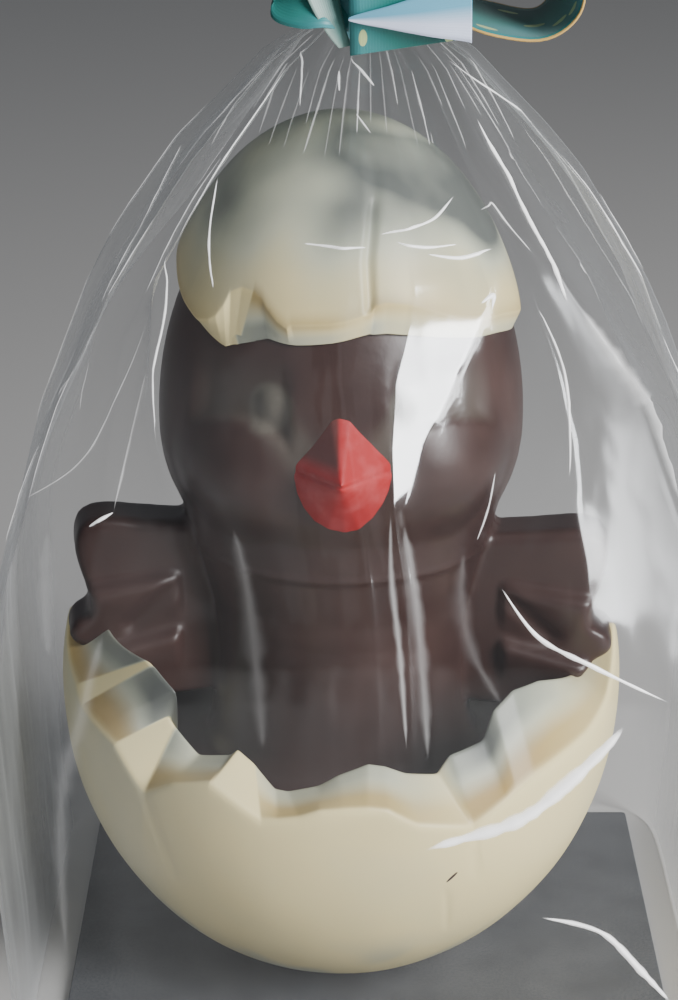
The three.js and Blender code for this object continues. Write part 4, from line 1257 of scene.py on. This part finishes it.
ribbon_strip("ribbon_wedge",
             [(-4, -32, 200), (3, -32.6, 200.4), (10, -32.7, 200.9), (17.2, -32.2, 201.5)],
             [(0, 0.1, 1), (0, 0.15, 1), (0, 0.2, 1), (0, 0.1, 1)],
             ribbon_back, width=11 * MM, ends=(0.04, 1))
ribbon_strip("ribbon_turned_edge",
             [(-9, -27, 206), (-8, -28.5, 202), (-6.4, -29.2, 198), (-4.6, -28.6, 194.6)],
             [(1, 0.3, 0), (1, 0.3, 0.05), (1, 0.2, 0.1), (1, 0.1, 0.2)],
             reverse_in_shade, width=7 * MM, ends=(1, 0.3))
ribbon_strip("ribbon_curl",
             [(-4, -24, 202), (-8, -27, 203.3), (-12.5, -27, 203.4), (-15.4, -24.5, 204.5), (-14, -21.5, 208),
              (-10, -21, 209)],
             [(0, 0.5, 0.8), (0, 0.5, 0.8), (0, 0.4, 0.9), (0.3, 0.4, 0.8), (0.3, 0.6, 0.7), (0, 0.8, 0.6)],
             ribbon_satin, width=12 * MM)


def band_place(across, up):
    angle = lerp(-180, 180, across)
    pleat = 0.5 * math.cos(up * math.tau * 3) + 0.3 * noise.noise(Vector((angle / 25, up * 4, 0)))
    bulge = 1.6 * math.sin(math.pi * up)
    return round_axis(angle, (9.6 + bulge + pleat) * MM, lerp(195.2, 205.5, up) * MM)


def knot_place(across, up):
    turn, lean = across * math.tau, math.pi * (up - 0.5)
    reach = math.cos(lean) * (1 + 0.07 * math.cos(turn * 6) * math.cos(lean))
    return BOW + Vector((math.cos(turn) * reach * KNOT_HALF_WIDTH, math.sin(turn) * reach * KNOT_HALF_DEPTH,
                         math.sin(lean) * KNOT_HALF_HEIGHT)) * MM


for name, place, columns, rows in (("ribbon_band", band_place, 120, 24), ("ribbon_knot", knot_place, 96, 40)):
    wrap = shaped_grid(name, columns, rows, place)
    for item in wrap.data.uv_layers.active.data:
        item.uv = (item.uv[0] * 0.7, (item.uv[1] - 0.5) * 0.2)
    if name == "ribbon_band":
        face_outwards(wrap)
        apply_modifier(wrap, "SOLIDIFY", thickness=RIBBON_THICK, offset=0)
    face_outwards(wrap)
    bpy.ops.object.shade_smooth()
    wrap.data.materials.append(ribbon_satin)
    finish_piece(wrap, "ribbon", "ribbon")

# ---- Floor, lights and camera ----
# A plain pale floor in soft studio light: a window-sized soft box at the front right, and a broad fill.
floor = primitive(bpy.ops.mesh.primitive_plane_add, "floor", size=8, location=(0, 2, -0.3 * MM))
floor_paint = new_material("pale floor")
floor_shader = add_node(floor_paint, "ShaderNodeBsdfPrincipled",
                        {"Base Color": colour("C9C7C5"), "Roughness": 0.7})
add_node(floor_paint, "ShaderNodeOutputMaterial", Surface=floor_shader.outputs["BSDF"])
floor.data.materials.append(floor_paint)

world = bpy.data.worlds.new("soft room")
world.use_nodes = True
world.node_tree.nodes["Background"].inputs["Color"].default_value = colour("C4CAD2")
world.node_tree.nodes["Background"].inputs["Strength"].default_value = 0.2
bpy.context.scene.world = world


def soft_box(name, place, target, width, height, power):
    bpy.ops.object.select_all(action="DESELECT")
    bpy.ops.object.light_add(type="AREA", location=place)
    lamp = bpy.context.object
    lamp.name = name
    lamp.data.shape = "RECTANGLE"
    lamp.data.size = width
    lamp.data.size_y = height
    lamp.data.energy = power
    lamp.rotation_euler = (Vector(target) - Vector(place)).to_track_quat("-Z", "Y").to_euler()
    return lamp


soft_box("window", (0.6, -0.55, 0.5), (0, 0, 0.1), 0.35, 0.5, 16)
soft_box("fill", (-0.4, -0.9, 0.6), (0, 0, 0.1), 0.8, 0.8, 0.4)

CAMERA_PLACE = (-0.0056, -0.495, 0.285)
CAMERA_TILT = 69.5
bpy.ops.object.select_all(action="DESELECT")
bpy.ops.object.camera_add(location=CAMERA_PLACE, rotation=(math.radians(CAMERA_TILT), 0, 0))
camera = bpy.context.object
camera.data.lens = 97.2
camera.data.sensor_width = 36
camera.data.clip_start = 0.02
bpy.context.scene.camera = camera
